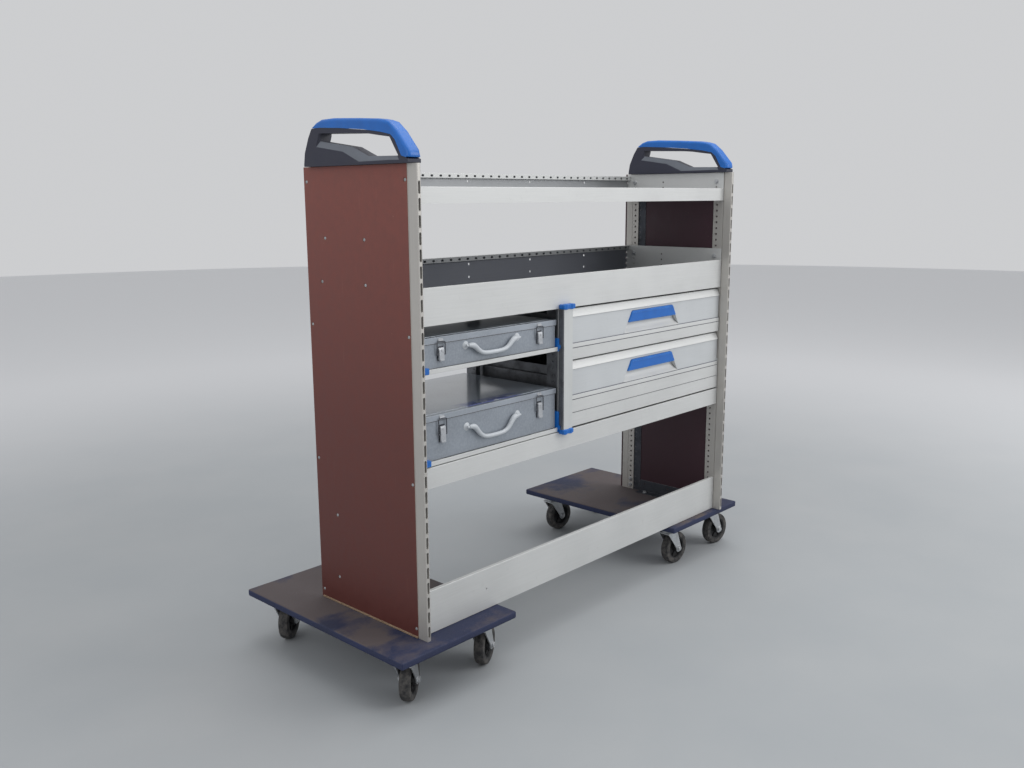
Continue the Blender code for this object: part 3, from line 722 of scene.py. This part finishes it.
# The handle's outlines: Y from the middle of the racking's depth, Z above the side frame
GRIP_TOP = [
    (0.1435, 0.0860), (0.1300, 0.0960), (0.1110, 0.1015), (0.0690, 0.1022), (-0.0110, 0.0980),
    (-0.0840, 0.0930), (-0.1030, 0.0900), (-0.1210, 0.0850), (-0.1450, 0.0660), (-0.1790, 0.0275),
    (-0.1820, 0.0160), (-0.1800, 0.0120),
]
GRIP_FOOT = [
    (-0.1735, 0.0110), (-0.1590, 0.0150), (-0.1400, 0.0480), (-0.1260, 0.0590), (-0.0930, 0.0655),
    (-0.0400, 0.0725), (0.0420, 0.0795), (0.1140, 0.0835), (0.1400, 0.0835),
]
OPENING = [
    (0.1190, 0.0545), (0.1185, 0.0715), (-0.0100, 0.0668), (-0.0590, 0.0628), (-0.0928, 0.0580),
    (-0.1239, 0.0540), (-0.1500, 0.0152), (-0.0490, 0.0172), (0.0055, 0.0387), (0.0500, 0.0448),
]
# The foot of the ledge, beside those points of the opening that have one
LEDGE = {
    0: (0.1290, 0.0425), 6: (-0.1520, 0.0065), 7: (-0.0206, 0.0062), 8: (0.0340, 0.0290), 9: (0.0640, 0.0335),
}
LEDGE_DEPTH = 0.0050
GRIP_ROUND = 0.0085


def handle(word):
    """The navy base with its bevelled ledge under the opening, and the blue grip over it."""
    low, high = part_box(f"handle_base_{word}")
    stand = low.z

    def stood(points):
        return [(FRAME_Y + y, stand + z) for y, z in points]

    def grown(amount):
        """The opening, pushed out towards the foot of its ledge."""
        pairs = [(point, LEDGE.get(i, point)) for i, point in enumerate(OPENING)]
        return stood([(y + (fy - y) * amount, z + (fz - z) * amount) for (y, z), (fy, fz) in pairs])

    base = node_copy(f"handle_base_{word}")
    past, inset = 0.002, -0.02
    more = 1 + past / LEDGE_DEPTH
    base = carved(base, [loft([grown(more), grown(inset)], [low.x - past, low.x + LEDGE_DEPTH])])
    base = carved(base, [loft([grown(inset), grown(more)], [high.x - LEDGE_DEPTH, high.x + past])])
    bmesh.ops.dissolve_limit(base, angle_limit=radians(0.5), verts=base.verts, edges=base.edges)
    bmesh.ops.remove_doubles(base, verts=base.verts, dist=3e-5)

    def on_ledge(face, centre):
        return 0.05 < face.normal.z < 0.98 and abs(face.normal.x) > 0.15 and centre.z < stand + 0.055

    rounded(painted(painted(base, 0), 1, on_ledge), 0.0010, 2, 35)
    piece(f"handle_base_skin_{word}", base, "racking", "anthracite_plastic", NAVY, LEDGE_GREY,
          stands_for=[f"handle_base_{word}"])

    outlines, levels, steps = [], [], 5
    for i in range(steps + 1):
        turn = pi / 2 * i / steps
        outlines.append(stood(drawn_in(GRIP_TOP, GRIP_ROUND * (1 - sin(turn))) + GRIP_FOOT))
        levels.append(low.x + GRIP_ROUND * (1 - cos(turn)))
    outlines += outlines[::-1]
    levels += [low.x + high.x - level for level in reversed(levels)]
    piece(f"handle_grip_skin_{word}", loft(outlines, levels), "racking", "blue_plastic", BLUE,
          stands_for=[f"handle_grip_{word}"], smooth=50)


def drawn_in(points, amount):
    """The grip's top, drawn in square to itself; its ends move less, so that they stay ahead of its foot."""
    drawn = []
    for i, (y, z) in enumerate(points):
        (y0, z0), (y1, z1) = points[max(i - 1, 0)], points[min(i + 1, len(points) - 1)]
        along = Vector((y1 - y0, z1 - z0)).normalized()
        share = 0.3 if i in (0, len(points) - 1) else 1.0
        drawn.append((y - along.y * amount * share, z + along.x * amount * share))
    return drawn


# Shelves and rails

SHEET = 0.002  # thickness of the shelves' sheet
CUT = 0.004  # how deep a cutter goes into it
FLANGE_PITCH = 0.0315
GRID = 0.252
WEB_X = [MIDDLE_X - 0.616, *[MIDDLE_X - 0.112 + GRID * i for i in range(-1, 3)], MIDDLE_X + 0.614]
SIDE_BOLT_Y = (FRAME_Y - 0.141, FRAME_Y + 0.158)
SIDE_HOLE_Y = FRAME_Y + 0.051
# Heights of each shelf's back wall, and how far below it are the web's holes, the end bolts and the end holes
WALL_TOP = {"top_shelf": DECK_TOP + 1.044, "middle_shelf": DECK_TOP + 0.824, "lower_shelf": DECK_TOP + 0.488}
WEB_DROPS = {"top_shelf": [0.020], "middle_shelf": [0.022, 0.057], "lower_shelf": []}
BOLT_DROP = {"top_shelf": 0.0195, "middle_shelf": 0.0230, "lower_shelf": 0.0240}
END_HOLE_DROPS = {"top_shelf": [0.0165], "middle_shelf": [0.0175, 0.0350], "lower_shelf": [0.0175, 0.0350]}


def shelf(name):
    low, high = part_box(name)
    wall_top = WALL_TOP[name]
    count = int((high.x - low.x - 0.02) / FLANGE_PITCH) + 1
    start = MIDDLE_X - (count - 1) / 2 * FLANGE_PITCH
    along = [start + i * FLANGE_PITCH for i in range(count)]

    def through(x, drop, radius=0.0034):
        """A cutter in the back wall, drop below its top."""
        return hole((x, high.y - SHEET, wall_top - drop), (0, -1, 0), radius, CUT)

    cutters = [through(x, drop) for drop in WEB_DROPS[name] for x in WEB_X]
    if name == "middle_shelf":
        cutters += [through(WEB_X[-1], WEB_DROPS[name][0] + PITCH * i) for i in (1, 3)]
    if name == "lower_shelf":
        cutters += [through(x, 0.0095, 0.0030) for x in along]
    bolt_z = wall_top - BOLT_DROP[name]
    rows = [bolt_z - drop for drop in END_HOLE_DROPS[name]]
    inner_x = high.x - SHEET - MIDDLE_X
    bolts = []
    for side in (-1, 1):
        x, inwards = MIDDLE_X + side * inner_x, (-side, 0, 0)
        ends = [(y, z) for y in SIDE_BOLT_Y for z in rows] + [(SIDE_HOLE_Y, z) for z in [bolt_z, *rows]]
        cutters += [hole((x, y, z), inwards, 0.0028, 0.0030) for y, z in ends]
        bolts += [((x, y, bolt_z), inwards) for y in SIDE_BOLT_Y]
    bm = carved(node_copy(name, 0.0004, 1), cutters)
    inside = 2 if name == "top_shelf" else 1
    painted(bm, 2, lambda face, centre: face.normal.z > 0.9 and low.y + 0.006 < centre.y < high.y - 0.015)
    painted(bm, 2, lambda face, centre: face.normal.y > 0.9 and centre.y > high.y - 0.0005)
    painted(bm, inside, lambda face, centre: face.normal.y < -0.9 and centre.y > high.y - 0.004)
    piece(f"{name}_skin", bm, "racking", "satin_aluminium", SATIN_X, SHADED, SLATE, stands_for=[name])
    if name != "lower_shelf":
        # the flange turns down again at its front edge, and is punched along its whole length
        front = high.y - 0.0122
        strip = block((low.x + 0.003, front, wall_top - 0.0125),
                      (high.x - 0.003, front + 0.0011, wall_top - 0.0003), 0.0003, 1)
        strip = carved(strip, [oblong((x, front, wall_top - 0.0068), 0.0100, 0.0058, 0.003) for x in along])
        finish = SATIN_X if name == "top_shelf" else SLATE
        piece(f"{name}_punched_flange", strip, "racking", "satin_aluminium", finish)
    group(f"{name}_bolts", hex_bolt(), bolts, "racking", "zinc_steel", ZINC)


def bottom_rail():
    low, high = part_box("bottom_front_rail")
    places = (low.x + 0.205, high.x - 0.010)
    cuts = [hole((x, low.y, low.z + 0.052), (0, -1, 0), 0.0022, CUT) for x in places]
    piece("bottom_rail_skin", carved(node_copy("bottom_front_rail", 0.0004, 1), cuts), "racking",
          "satin_aluminium", SATIN_X, stands_for=["bottom_front_rail"])


def divider():
    """Divider posts: an extruded nose with a stepped edge, a perforated web and a perforated back post."""
    low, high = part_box("divider_post_front")
    middle, width = (low.x + high.x) / 2, high.x - low.x
    groove = width / 2 - 0.0060
    # depth from the left face, and from the front
    outline = [
        (0.0, 0.0020), (0.0020, 0.0), (width - 0.0095, 0.0), (width - 0.0088, 0.0016),
        (width - 0.0010, 0.0016), (width, 0.0026), (width, 0.0240), (width - 0.0020, 0.0245),
        (width - groove, 0.0245),
        (width - groove, 0.0120), (groove, 0.0120), (groove, 0.0245), (0.0, 0.0245), (0.0, 0.0185),
        (0.0012, 0.0180), (0.0012, 0.0165), (0.0, 0.0160),
    ]
    nose_low, nose_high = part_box("divider_cap_bottom")[1].z + 0.0003, high.z - 0.001
    nose = prism([(low.x + x, low.y + y) for x, y in outline], nose_low, nose_high, "Z")
    # painted shade: the nose's faces that look left take the dark zinc
    painted(nose, 1, lambda face, centre: face.normal.x < -0.5)
    web_x = middle - 0.0058
    web = block((web_x, low.y + 0.0236, low.z), (middle + 0.0058, high.y, high.z - 0.0005), 0.0005)
    count = int((high.z - low.z - 0.02) / PITCH)
    column = [low.z + 0.014 + i * PITCH for i in range(count)]
    web = carved(web, [hole((web_x, low.y + 0.046, z), (-1, 0, 0), 0.0026, 0.0030) for z in column])
    piece("divider_post_skin", gathered([nose, painted(web, 1)]), "racking", "satin_aluminium",
          SATIN_POST, DARK_ZINC_AND_SHADE, stands_for=["divider_post_front"], smooth=40)
    low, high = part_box("divider_post_back")
    rows = ((high.y - 0.0095, 0.003), (low.y + 0.007, high.x - low.x + OVERLAP))
    cuts = [hole((low.x, y, z), (-1, 0, 0), 0.0026, depth) for z in column for y, depth in rows]
    post = carved(node_copy("divider_post_back", 0.0008), cuts)
    piece("divider_back_skin", post, "racking", "satin_aluminium", DARK_ZINC_AND_SHADE,
          stands_for=["divider_post_back"])
    for word in ("top", "bottom"):
        name = f"divider_cap_{word}"
        low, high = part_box(name)
        tall = high.z - low.z
        profile = [(0, 0), (0.0062, 0), (0.0074, 0.0012), (0.0074, tall - 0.0002), (0.0060, tall + 0.0014),
                   (0, tall + 0.0016)]
        places = [(low.x + share * (high.x - low.x), low.y + 0.0052, low.z - 0.0006) for share in (0.2, 0.72)]
        knobs = repeated(turned(profile, 20), [Matrix.Translation(place) for place in places])
        piece(f"{name}_skin", gathered([node_copy(name, 0.0024, 3), knobs]), "racking", "blue_plastic", BLUE,
              stands_for=[name])


# Drawers


PULL_HALF = 0.104  # half the pull's width under its round corners
PULL_FLARE = 0.030  # how much wider each side is at its foot


def drawer(level):
    low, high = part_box(f"drawer_front_{level}")
    grip_low, grip_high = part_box(f"drawer_grip_{level}")
    body = f"drawer_{level}"
    face, thick, top = low.y, high.y - low.y, high.z - 0.0020
    fold, ledge = high.z - 0.0225, high.z - 0.089
    grooves = [ledge - 0.0128] + ([ledge - 0.0470] if level == "lower" else [])
    outline = [(thick, low.z), (0.0012, low.z), (0.0, low.z + 0.0012)]
    for z in reversed(grooves):
        outline += [(0.0, z - 0.0010), (0.0018, z - 0.0008), (0.0018, z + 0.0008), (0.0, z + 0.0010)]
    outline += [
        (0.0004, ledge - 0.0014), (0.0010, ledge - 0.0004), (0.0034, ledge), (0.0032, ledge + 0.0012),
        (0.0030, fold - 0.0022), (0.0026, fold - 0.0010), (0.0004, fold - 0.0002), (0.0, fold + 0.0006),
        (0.0088, top - 0.0012), (0.0104, top - 0.0002), (0.0116, top), (thick, top),
    ]
    front = prism([(face + depth, z) for depth, z in outline], low.x, high.x)
    middle = (grip_low.x + grip_high.x) / 2
    pull_top, pull_low = fold - 0.006, ledge + 0.0005
    corner = pull_top - 0.012

    def pull(foot, clear=0.0):
        """The pull's outline, with round top corners, down to foot."""
        half = PULL_HALF - clear + PULL_FLARE * (corner - foot) / 0.048
        radius, steps = 0.011, 4
        turns = [radians(10 + 80 * i / steps) for i in range(steps + 1)]
        arc = [(0.093 - clear + radius * cos(a), pull_top - clear - radius + radius * sin(a)) for a in turns]
        right = [(middle + x, z) for x, z in arc]
        left = [(middle - x, z) for x, z in reversed(arc)]
        return [(middle - half, foot), (middle + half, foot), *right, *left]

    front = carved(front, [prism(pull(pull_low), face - 0.01, face + 0.016, "Y")])
    dark = [ledge - 0.0009, *grooves]
    painted(front, 1, lambda one, centre: one.normal.y < -0.9 and ledge < centre.z < fold)
    # painted shade: the grooves and the step under the ledge take the dark sheet
    painted(front, 2, lambda one, centre:
            centre.y > face + 0.0001 and min(abs(centre.z - z) for z in dark) < 0.0009)
    piece(f"drawer_front_skin_{level}", front, body, "satin_aluminium", SATIN_X, BLUISH, SHADED,
          stands_for=[f"drawer_front_{level}"], smooth=40)
    # The scoop behind the grip: a concave sheet from under the grip out to the foot of the recess
    start, shares = grip_low.z + 0.004, [i / 10 for i in range(11)]
    profile = [(face + 0.0155 - 0.0145 * s ** 2.4, start - (start - pull_low) * s ** 0.75) for s in shares]
    sheet = profile + [(y + 0.0007, z - 0.0004) for y, z in reversed(profile)]
    half_foot = PULL_HALF + PULL_FLARE
    scoop = prism(sheet, middle - half_foot + 0.0016, middle + half_foot - 0.0016)
    for vert in scoop.verts:
        share = (vert.co.z - pull_low) / (corner - pull_low)
        vert.co.x = middle + (vert.co.x - middle) * (1 - PULL_FLARE * share / half_foot)
    piece(f"drawer_scoop_{level}", scoop, body, "satin_aluminium", SATIN_X, smooth=60)
    grip = rounded(prism(pull(grip_low.z, 0.0008), face - 0.0012, face + 0.010, "Y"), 0.0018, 3, 50)
    lip = block((middle - 0.098, face - 0.0024, grip_high.z - 0.0075),
                (middle + 0.098, face + 0.001, grip_high.z - 0.0040), 0.0015, 3)
    piece(f"drawer_grip_skin_{level}", gathered([grip, lip]), body, "blue_plastic", BLUE,
          stands_for=[f"drawer_grip_{level}"])
    box = node_copy(f"drawer_box_{level}", 0.0004, 1)
    piece(f"drawer_box_skin_{level}", box, body, "grey_sheet", DARK_ZINC_AND_SHADE, stands_for=[f"drawer_box_{level}"])
    for hand in HANDS:
        name = f"drawer_runner_{level}_{hand}"
        long_shape = node_copy(name, 0.0003, 1)
        piece(f"{name}_skin", long_shape, "racking", "zinc_steel", DARK_ZINC_AND_SHADE, stands_for=[name])


# Cases


def case(level):
    body = f"case_{level}"
    case_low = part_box(f"case_body_{level}")[0]
    shell = node_copy(f"case_body_{level}")
    corner_edges = [e for e in shell.edges if abs((e.verts[0].co - e.verts[1].co).normalized().z) > 0.9]
    bmesh.ops.bevel(shell, geom=corner_edges, offset=0.0030, segments=3, affect="EDGES", clamp_overlap=True)
    piece(f"case_body_skin_{level}", shell, body, "grey_enamel", CASE_GREY, stands_for=[f"case_body_{level}"])
    low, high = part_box(f"case_lid_{level}")
    inset, rim = 0.014, 0.002
    panel = block((low.x + inset, low.y + inset, high.z - 0.0015),
                  (high.x - inset, high.y - inset, high.z + 0.0007), 0.0006)
    lid = painted(node_copy(f"case_lid_{level}", 0.0012, 3), 1, lambda face, centre:
                  centre.z < high.z - 0.0030 and not low.y + rim < centre.y < high.y - rim)
    piece(f"case_lid_skin_{level}", gathered([lid, panel]), f"lid_{level}", "grey_enamel",
          LID_LOWER if level == "lower" else LID_UPPER, LID_RIM, stands_for=[f"case_lid_{level}"])
    # a dark strip along the seam under the lid's front edge: painted shadow of the lid's overhang
    shadow = block((low.x + 0.0008, low.y + 0.0002, low.z - 0.0012),
                   (high.x - 0.0008, low.y + 0.0020, low.z + 0.0004), 0.0002)
    piece(f"lid_painted_shadow_{level}", shadow, body, "dark_steel", DARK_STEEL_AND_SHADE)
    tray_low, tray_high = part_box(f"case_tray_{level}")
    tray = node_copy(f"case_tray_{level}", 0.0004, 1)
    piece(f"case_tray_skin_{level}", tray, body, "satin_aluminium", SATIN_X,
          stands_for=[f"case_tray_{level}"])
    tall = 0.052 if level == "lower" else 0.032

    def stop(x, first, last, edge):
        """A block between two corners, both counted from the tray's lowest front corner at x."""
        return block(*[(x + a, tray_low.y + b, tray_low.z + c) for a, b, c in (first, last)], edge)

    stops = [
        stop(tray_low.x, (0.0010, -0.0040, 0.0005), (0.0280, 0.020, 0.0150), 0.0016),
        stop(tray_high.x, (-0.0032, -0.0015, -0.001), (0.0032, 0.040, tall), 0.0014),
        stop(tray_high.x, (-0.0030, -0.0060, 0.006), (0.0030, 0.002, 0.016), 0.0014),
    ]
    piece(f"tray_stops_{level}", gathered(stops), body, "blue_plastic", BLUE)
    bail(level, body, case_low)
    for hand in HANDS:
        latch(level, hand, body, case_low)


def bail(level, body, case_low):
    """The bail handle, thicker at its ends, and the two flared eye plates that hold it."""
    low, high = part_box(f"case_bail_{level}")
    centre, half = (low.x + high.x) / 2, (high.x - low.x) / 2
    radius = 0.0055
    y, pivot, foot = (low.y + high.y) / 2, high.z - radius, low.z + radius
    drop = (pivot - foot) * (0.80 if level == "lower" else 0.88)
    # shares of the half width and of the drop, from one end to just before the middle
    line = [
        (-1.0, 0.0), (-0.90, 0.0), (-0.80, 0.06), (-0.70, 0.34), (-0.58, 0.72), (-0.42, 0.97), (-0.22, 1.03),
    ]
    shares = [*line, (0.0, 1.04), *[(-a, b) for a, b in reversed(line)]]
    points = [(centre + half * a, y, pivot - drop * b) for a, b in shares]
    half_swell = [0.75, 1.10, 1.25, 1.12, 1.0, 0.96, 0.94]
    bar = tube(points, radius * 0.98, 3, half_swell + [0.94] + half_swell[::-1])
    piece(f"case_bail_skin_{level}", bar, f"bail_{level}", "light_grey_plastic", PALE,
          stands_for=[f"case_bail_{level}"], smooth=60)
    eyes = []
    for side in (-1, 1):
        x = centre + side * (half + 0.0020)
        reach = case_low.y - y
        cup = turned([(0, -reach), (0.0030, -reach), (0.0036, -reach * 0.7), (0.0046, -0.0030),
                      (0.0090, -0.0008), (0.0095, 0), (0, 0)], 20)
        turn = Matrix.Rotation(-pi / 2, 4, "X")
        eyes.append(placed(cup, Matrix.Translation((x, case_low.y, pivot)) @ turn))
        pin = turned([(0, -0.006), (0.0024, -0.006), (0.0024, 0.004), (0, 0.004)], 12)
        eyes.append(placed(pin, facing((x, y, pivot), (side, 0, 0))))
        for dz in (-0.0068, 0.0068):
            rivet = turned([(0, 0), (0.0022, 0), (0.0019, 0.0009), (0, 0.0012)], 12)
            eyes.append(placed(rivet, facing((x, case_low.y - 0.0006, pivot + dz), (0, -1, 0))))
    piece(f"bail_eyes_{level}", gathered(eyes), body, "zinc_steel", PALE)


def latch(level, hand, body, case_low):
    """A toggle latch: a cupped lever in a wire loop, the plate it is riveted to, and the hook on the lid."""
    name = f"case_latch_{level}_{hand}"
    low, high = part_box(name)
    x, half = (low.x + high.x) / 2, (high.x - low.x) / 2
    front, back = low.y, high.y
    z0, z1 = low.z, high.z
    height = z1 - z0
    lever_top = z0 + height * 0.66
    lever_outline = [
        (back - 0.0004, z0 + 0.002), (front + 0.0010, z0), (front, z0 + 0.0025),
        (front + 0.0004, z0 + height * 0.42), (front + 0.0006, lever_top - 0.004),
        (front + 0.0020, lever_top), (back - 0.0004, lever_top + 0.001),
    ]
    lever = rounded(prism(lever_outline, x - half * 0.58, x + half * 0.58), 0.0008, 2, 40)
    tab = block((x - half * 0.50, front - 0.0014, z0 - 0.0012),
                (x + half * 0.50, front + 0.0010, z0 + 0.0030), 0.0008)
    boss = placed(turned([(0, 0), (0.0026, 0), (0.0022, 0.0010), (0, 0.0013)], 14),
                  facing((x, front + 0.0006, lever_top - 0.006), (0, -1, 0)))
    # half of the loop: share of its half width, and height
    rise = [(-1.0, z0 + height * 0.30), (-1.0, z0 + height * 0.60), (-1.0, z1 - 0.0030), (-0.92, z1 - 0.0012),
            (-0.70, z1 - 0.0006)]
    loop = [*rise, (0.0, z1 - 0.0005), *[(-a, z) for a, z in reversed(rise)]]
    y_wire = back - 0.0026
    wire = tube([(x + half * 0.90 * a, y_wire, z) for a, z in loop], 0.0012)
    end = half * 0.95
    axle = placed(turned([(0, -end), (0.0017, -end), (0.0017, end), (0, end)], 12),
                  facing((x, y_wire, z0 + height * 0.32), (1, 0, 0)))
    piece(f"{name}_skin", gathered([lever, tab, boss, painted(wire, 1), painted(axle, 1)]),
          f"latch_{level}_{hand}", "zinc_steel", NICKEL, DARK_STEEL_AND_SHADE, stands_for=[name])
    plate = block((x - half * 0.70, case_low.y - 0.00025, z0 - 0.001),
                  (x + half * 0.70, case_low.y + 0.0006, z0 + height * 0.74), 0.0001)
    piece(f"latch_plate_{level}_{hand}", plate, body, "zinc_steel", DARK_STEEL_AND_SHADE)
    lid_low, lid_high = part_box(f"case_lid_{level}")
    hook_low, hook_high = z1 + 0.0008, min(z1 + 0.0070, lid_high.z - 0.0012)
    # how far it stands off the lid, and height
    hook_outline = [
        (0.0, hook_low), (0.0026, hook_low), (0.0032, hook_low + 0.0012), (0.0024, hook_low + 0.0022),
        (0.0010, hook_low + 0.0026), (0.0008, hook_high), (0.0, hook_high),
    ]
    hook = prism([(lid_low.y - off, z) for off, z in hook_outline], x - half * 0.55, x + half * 0.55)
    piece(f"latch_hook_{level}_{hand}", rounded(hook, 0.0003, 1, 40), f"lid_{level}", "zinc_steel", NICKEL)


# Dollies and casters


def dolly(word):
    name = f"dolly_board_{word}"
    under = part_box(name)[1].z - 0.018
    board = painted(node_copy(name), 1, lambda face, centre: centre.z < under - 0.0005)
    piece(f"{name}_skin", board, "racking", "dolly_blue", COVER, ZINC, stands_for=[name])
    nuts = []
    corners = [(dx, dy) for dx in (-0.030, 0.030) for dy in (-0.0235, 0.0235)]
    for fork in sorted(n for n in frame["nodes"] if n.startswith(f"caster_fork_{word}")):
        x, y, _ = JOINTS["swivel_" + fork.removeprefix("caster_fork_")]["pos_m"]
        nuts += [((x + dx, y + dy, under - 0.004), (0, 0, -1)) for dx, dy in corners]
    group(f"caster_nuts_{word}", hex_bolt(0.008, 0.0035), nuts, "racking", "zinc_steel", ZINC)


WHEEL_RADIUS, TYRE_HALF = 0.0500, 0.013
DISH = 0.0050  # half the thickness of the hub's dish
BORE, SLEEVE = 0.0066, 0.0165  # radius of the hub's bore, and half the length of its sleeve
RIBS = 6
AXLE_NUT = 2 * 0.0078 * cos(pi / 6)  # across its flats


def both_ways(profile):
    """A profile of radius and height, followed by its mirror image in height, and closed."""
    return [*profile, *[(r, -z) for r, z in reversed(profile)], profile[0]]


def caster(place):
    """One caster: pressed fork with its ball race and axle nuts, and a tyred wheel with a ribbed hub."""
    node = f"caster_fork_{place}"
    x, y, _ = JOINTS[f"swivel_{place}"]["pos_m"]
    roll = JOINTS[f"roll_{place}"]
    axle, axis = Vector(roll["pos_m"]), Vector(roll["axis"])
    race = ring(0.0255, 0.010, -0.0052, -0.0008, 0.0012, 32)
    parts = [node_copy(node, 0.0006), placed(race, Matrix.Translation((x, y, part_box(node)[1].z)))]
    for out in (-axis, axis):
        parts.append(placed(hex_head(AXLE_NUT, 0.0050), facing(axle + out * 0.0232, out)))
        parts.append(placed(ring(0.0092, 0.002, 0, 0.0012), facing(axle + out * 0.0205, out)))
    piece(f"fork_{place}", gathered(parts), f"caster_{place}", "zinc_steel", ZINC, stands_for=[node])
    tyre = turned(both_ways([
        (WHEEL_RADIUS - 0.0150, -TYRE_HALF + 0.0008), (WHEEL_RADIUS - 0.0050, -TYRE_HALF),
        (WHEEL_RADIUS - 0.0020, -TYRE_HALF + 0.0014), (WHEEL_RADIUS - 0.0004, -TYRE_HALF + 0.0050),
        (WHEEL_RADIUS, -0.0030),
    ]), 64)
    hub = turned(both_ways([
        (BORE, -SLEEVE), (0.0125, -SLEEVE), (0.0135, -0.0150), (0.0140, -DISH - 0.0010), (0.0170, -DISH),
        (0.0290, -DISH), (0.0310, -TYRE_HALF + 0.0022), (0.0352, -TYRE_HALF + 0.0012),
    ]), 48)
    rib = block((0.0130, -0.0012, -DISH - 0.0035), (0.0305, 0.0012, DISH + 0.0035), 0.0008)
    ribs = repeated(rib, [Matrix.Rotation(2 * pi * i / RIBS, 4, "Z") for i in range(RIBS)])
    wheel = placed(gathered([tyre, painted(hub, 1), painted(ribs, 1)]), facing(axle, axis))
    piece(f"wheel_{place}_skin", wheel, f"wheel_{place}", "tyre_rubber", RUBBER, HUB,
          stands_for=[f"caster_wheel_{place}"])


# Stage, light and camera


def stage():
    """A plain floor, grey around the racking and paler further out."""
    bm = bmesh.new()
    bmesh.ops.create_circle(bm, cap_ends=True, segments=96, radius=14.0)
    floor = linked("floor", meshed("floor", bm))
    look = Look("pale_floor", srgb(166, 170, 172), 0.7, **{"Specular IOR Level": 0.15})
    away = look.node("ShaderNodeVectorMath", operation="LENGTH")
    look.feed(look.place, away.inputs[0])
    share = look.spread(away.outputs["Value"], 1.2, 4.5, interpolation_type="SMOOTHSTEP")
    near = look.blend(look.noise(2.3, 8.0), 0.3, 0.7, srgb(163, 167, 170), srgb(169, 172, 174))
    look.colour(look.mix(share, near, srgb(224, 225, 227)))
    floor.data.materials.append(look.material)


def area_light(name, place, aim, size, watts):
    light = bpy.data.lights.new(name, "AREA")
    light.shape = "RECTANGLE"
    light.size, light.size_y = size
    light.energy = watts
    linked(name, light).matrix_world = facing(place, Vector(place) - Vector(aim))


def lights():
    world = bpy.data.worlds.new("studio")
    bpy.context.scene.world = world
    world.use_nodes = True
    background = world.node_tree.nodes["Background"]
    background.inputs["Color"].default_value = (*srgb(226, 227, 229), 1)
    background.inputs["Strength"].default_value = 0.80
    area_light("ceiling", (0.4, -0.6, 3.6), (0, 0, 0.4), (4.0, 3.0), 60)
    area_light("front_right", (2.6, -3.8, 2.6), (0.0, 0.0, 0.6), (2.4, 2.4), 70)
    area_light("left_fill", (-3.6, -0.6, 2.2), (-0.5, 0.0, 0.7), (2.2, 2.2), 16)


CAMERA_PLACE = (-1.986, -1.7923, 1.1294)
CAMERA_TURN, CAMERA_PITCH, CAMERA_ROLL = radians(-47.212), radians(-11.008), radians(-0.2997)


def camera():
    level, rise = cos(CAMERA_PITCH), sin(CAMERA_PITCH)
    ahead = Vector((-sin(CAMERA_TURN) * level, cos(CAMERA_TURN) * level, rise))
    across = ahead.cross(Vector((0, 0, 1))).normalized()
    over = across.cross(ahead)
    right = across * cos(CAMERA_ROLL) + over * sin(CAMERA_ROLL)
    up = over * cos(CAMERA_ROLL) - across * sin(CAMERA_ROLL)
    data = bpy.data.cameras.new("photo_camera")
    data.sensor_width = 36.0
    data.lens = 33.79
    obj = linked("photo_camera", data)
    obj.matrix_world = Matrix.Translation(CAMERA_PLACE) @ Matrix((right, up, -ahead)).transposed().to_4x4()
    bpy.context.scene.camera = obj


stage()
lights()
camera()
bpy.context.scene.view_settings.view_transform = "Standard"
for side_word, side_sign in SIDES:
    side_frame(side_word, side_sign)
    dolly(side_word)
for shelf_name in WALL_TOP:
    shelf(shelf_name)
bottom_rail()
divider()
for which in LEVELS:
    drawer(which)
    case(which)
for joint_name in JOINTS:
    if joint_name.startswith("swivel_"):
        caster(joint_name.removeprefix("swivel_"))
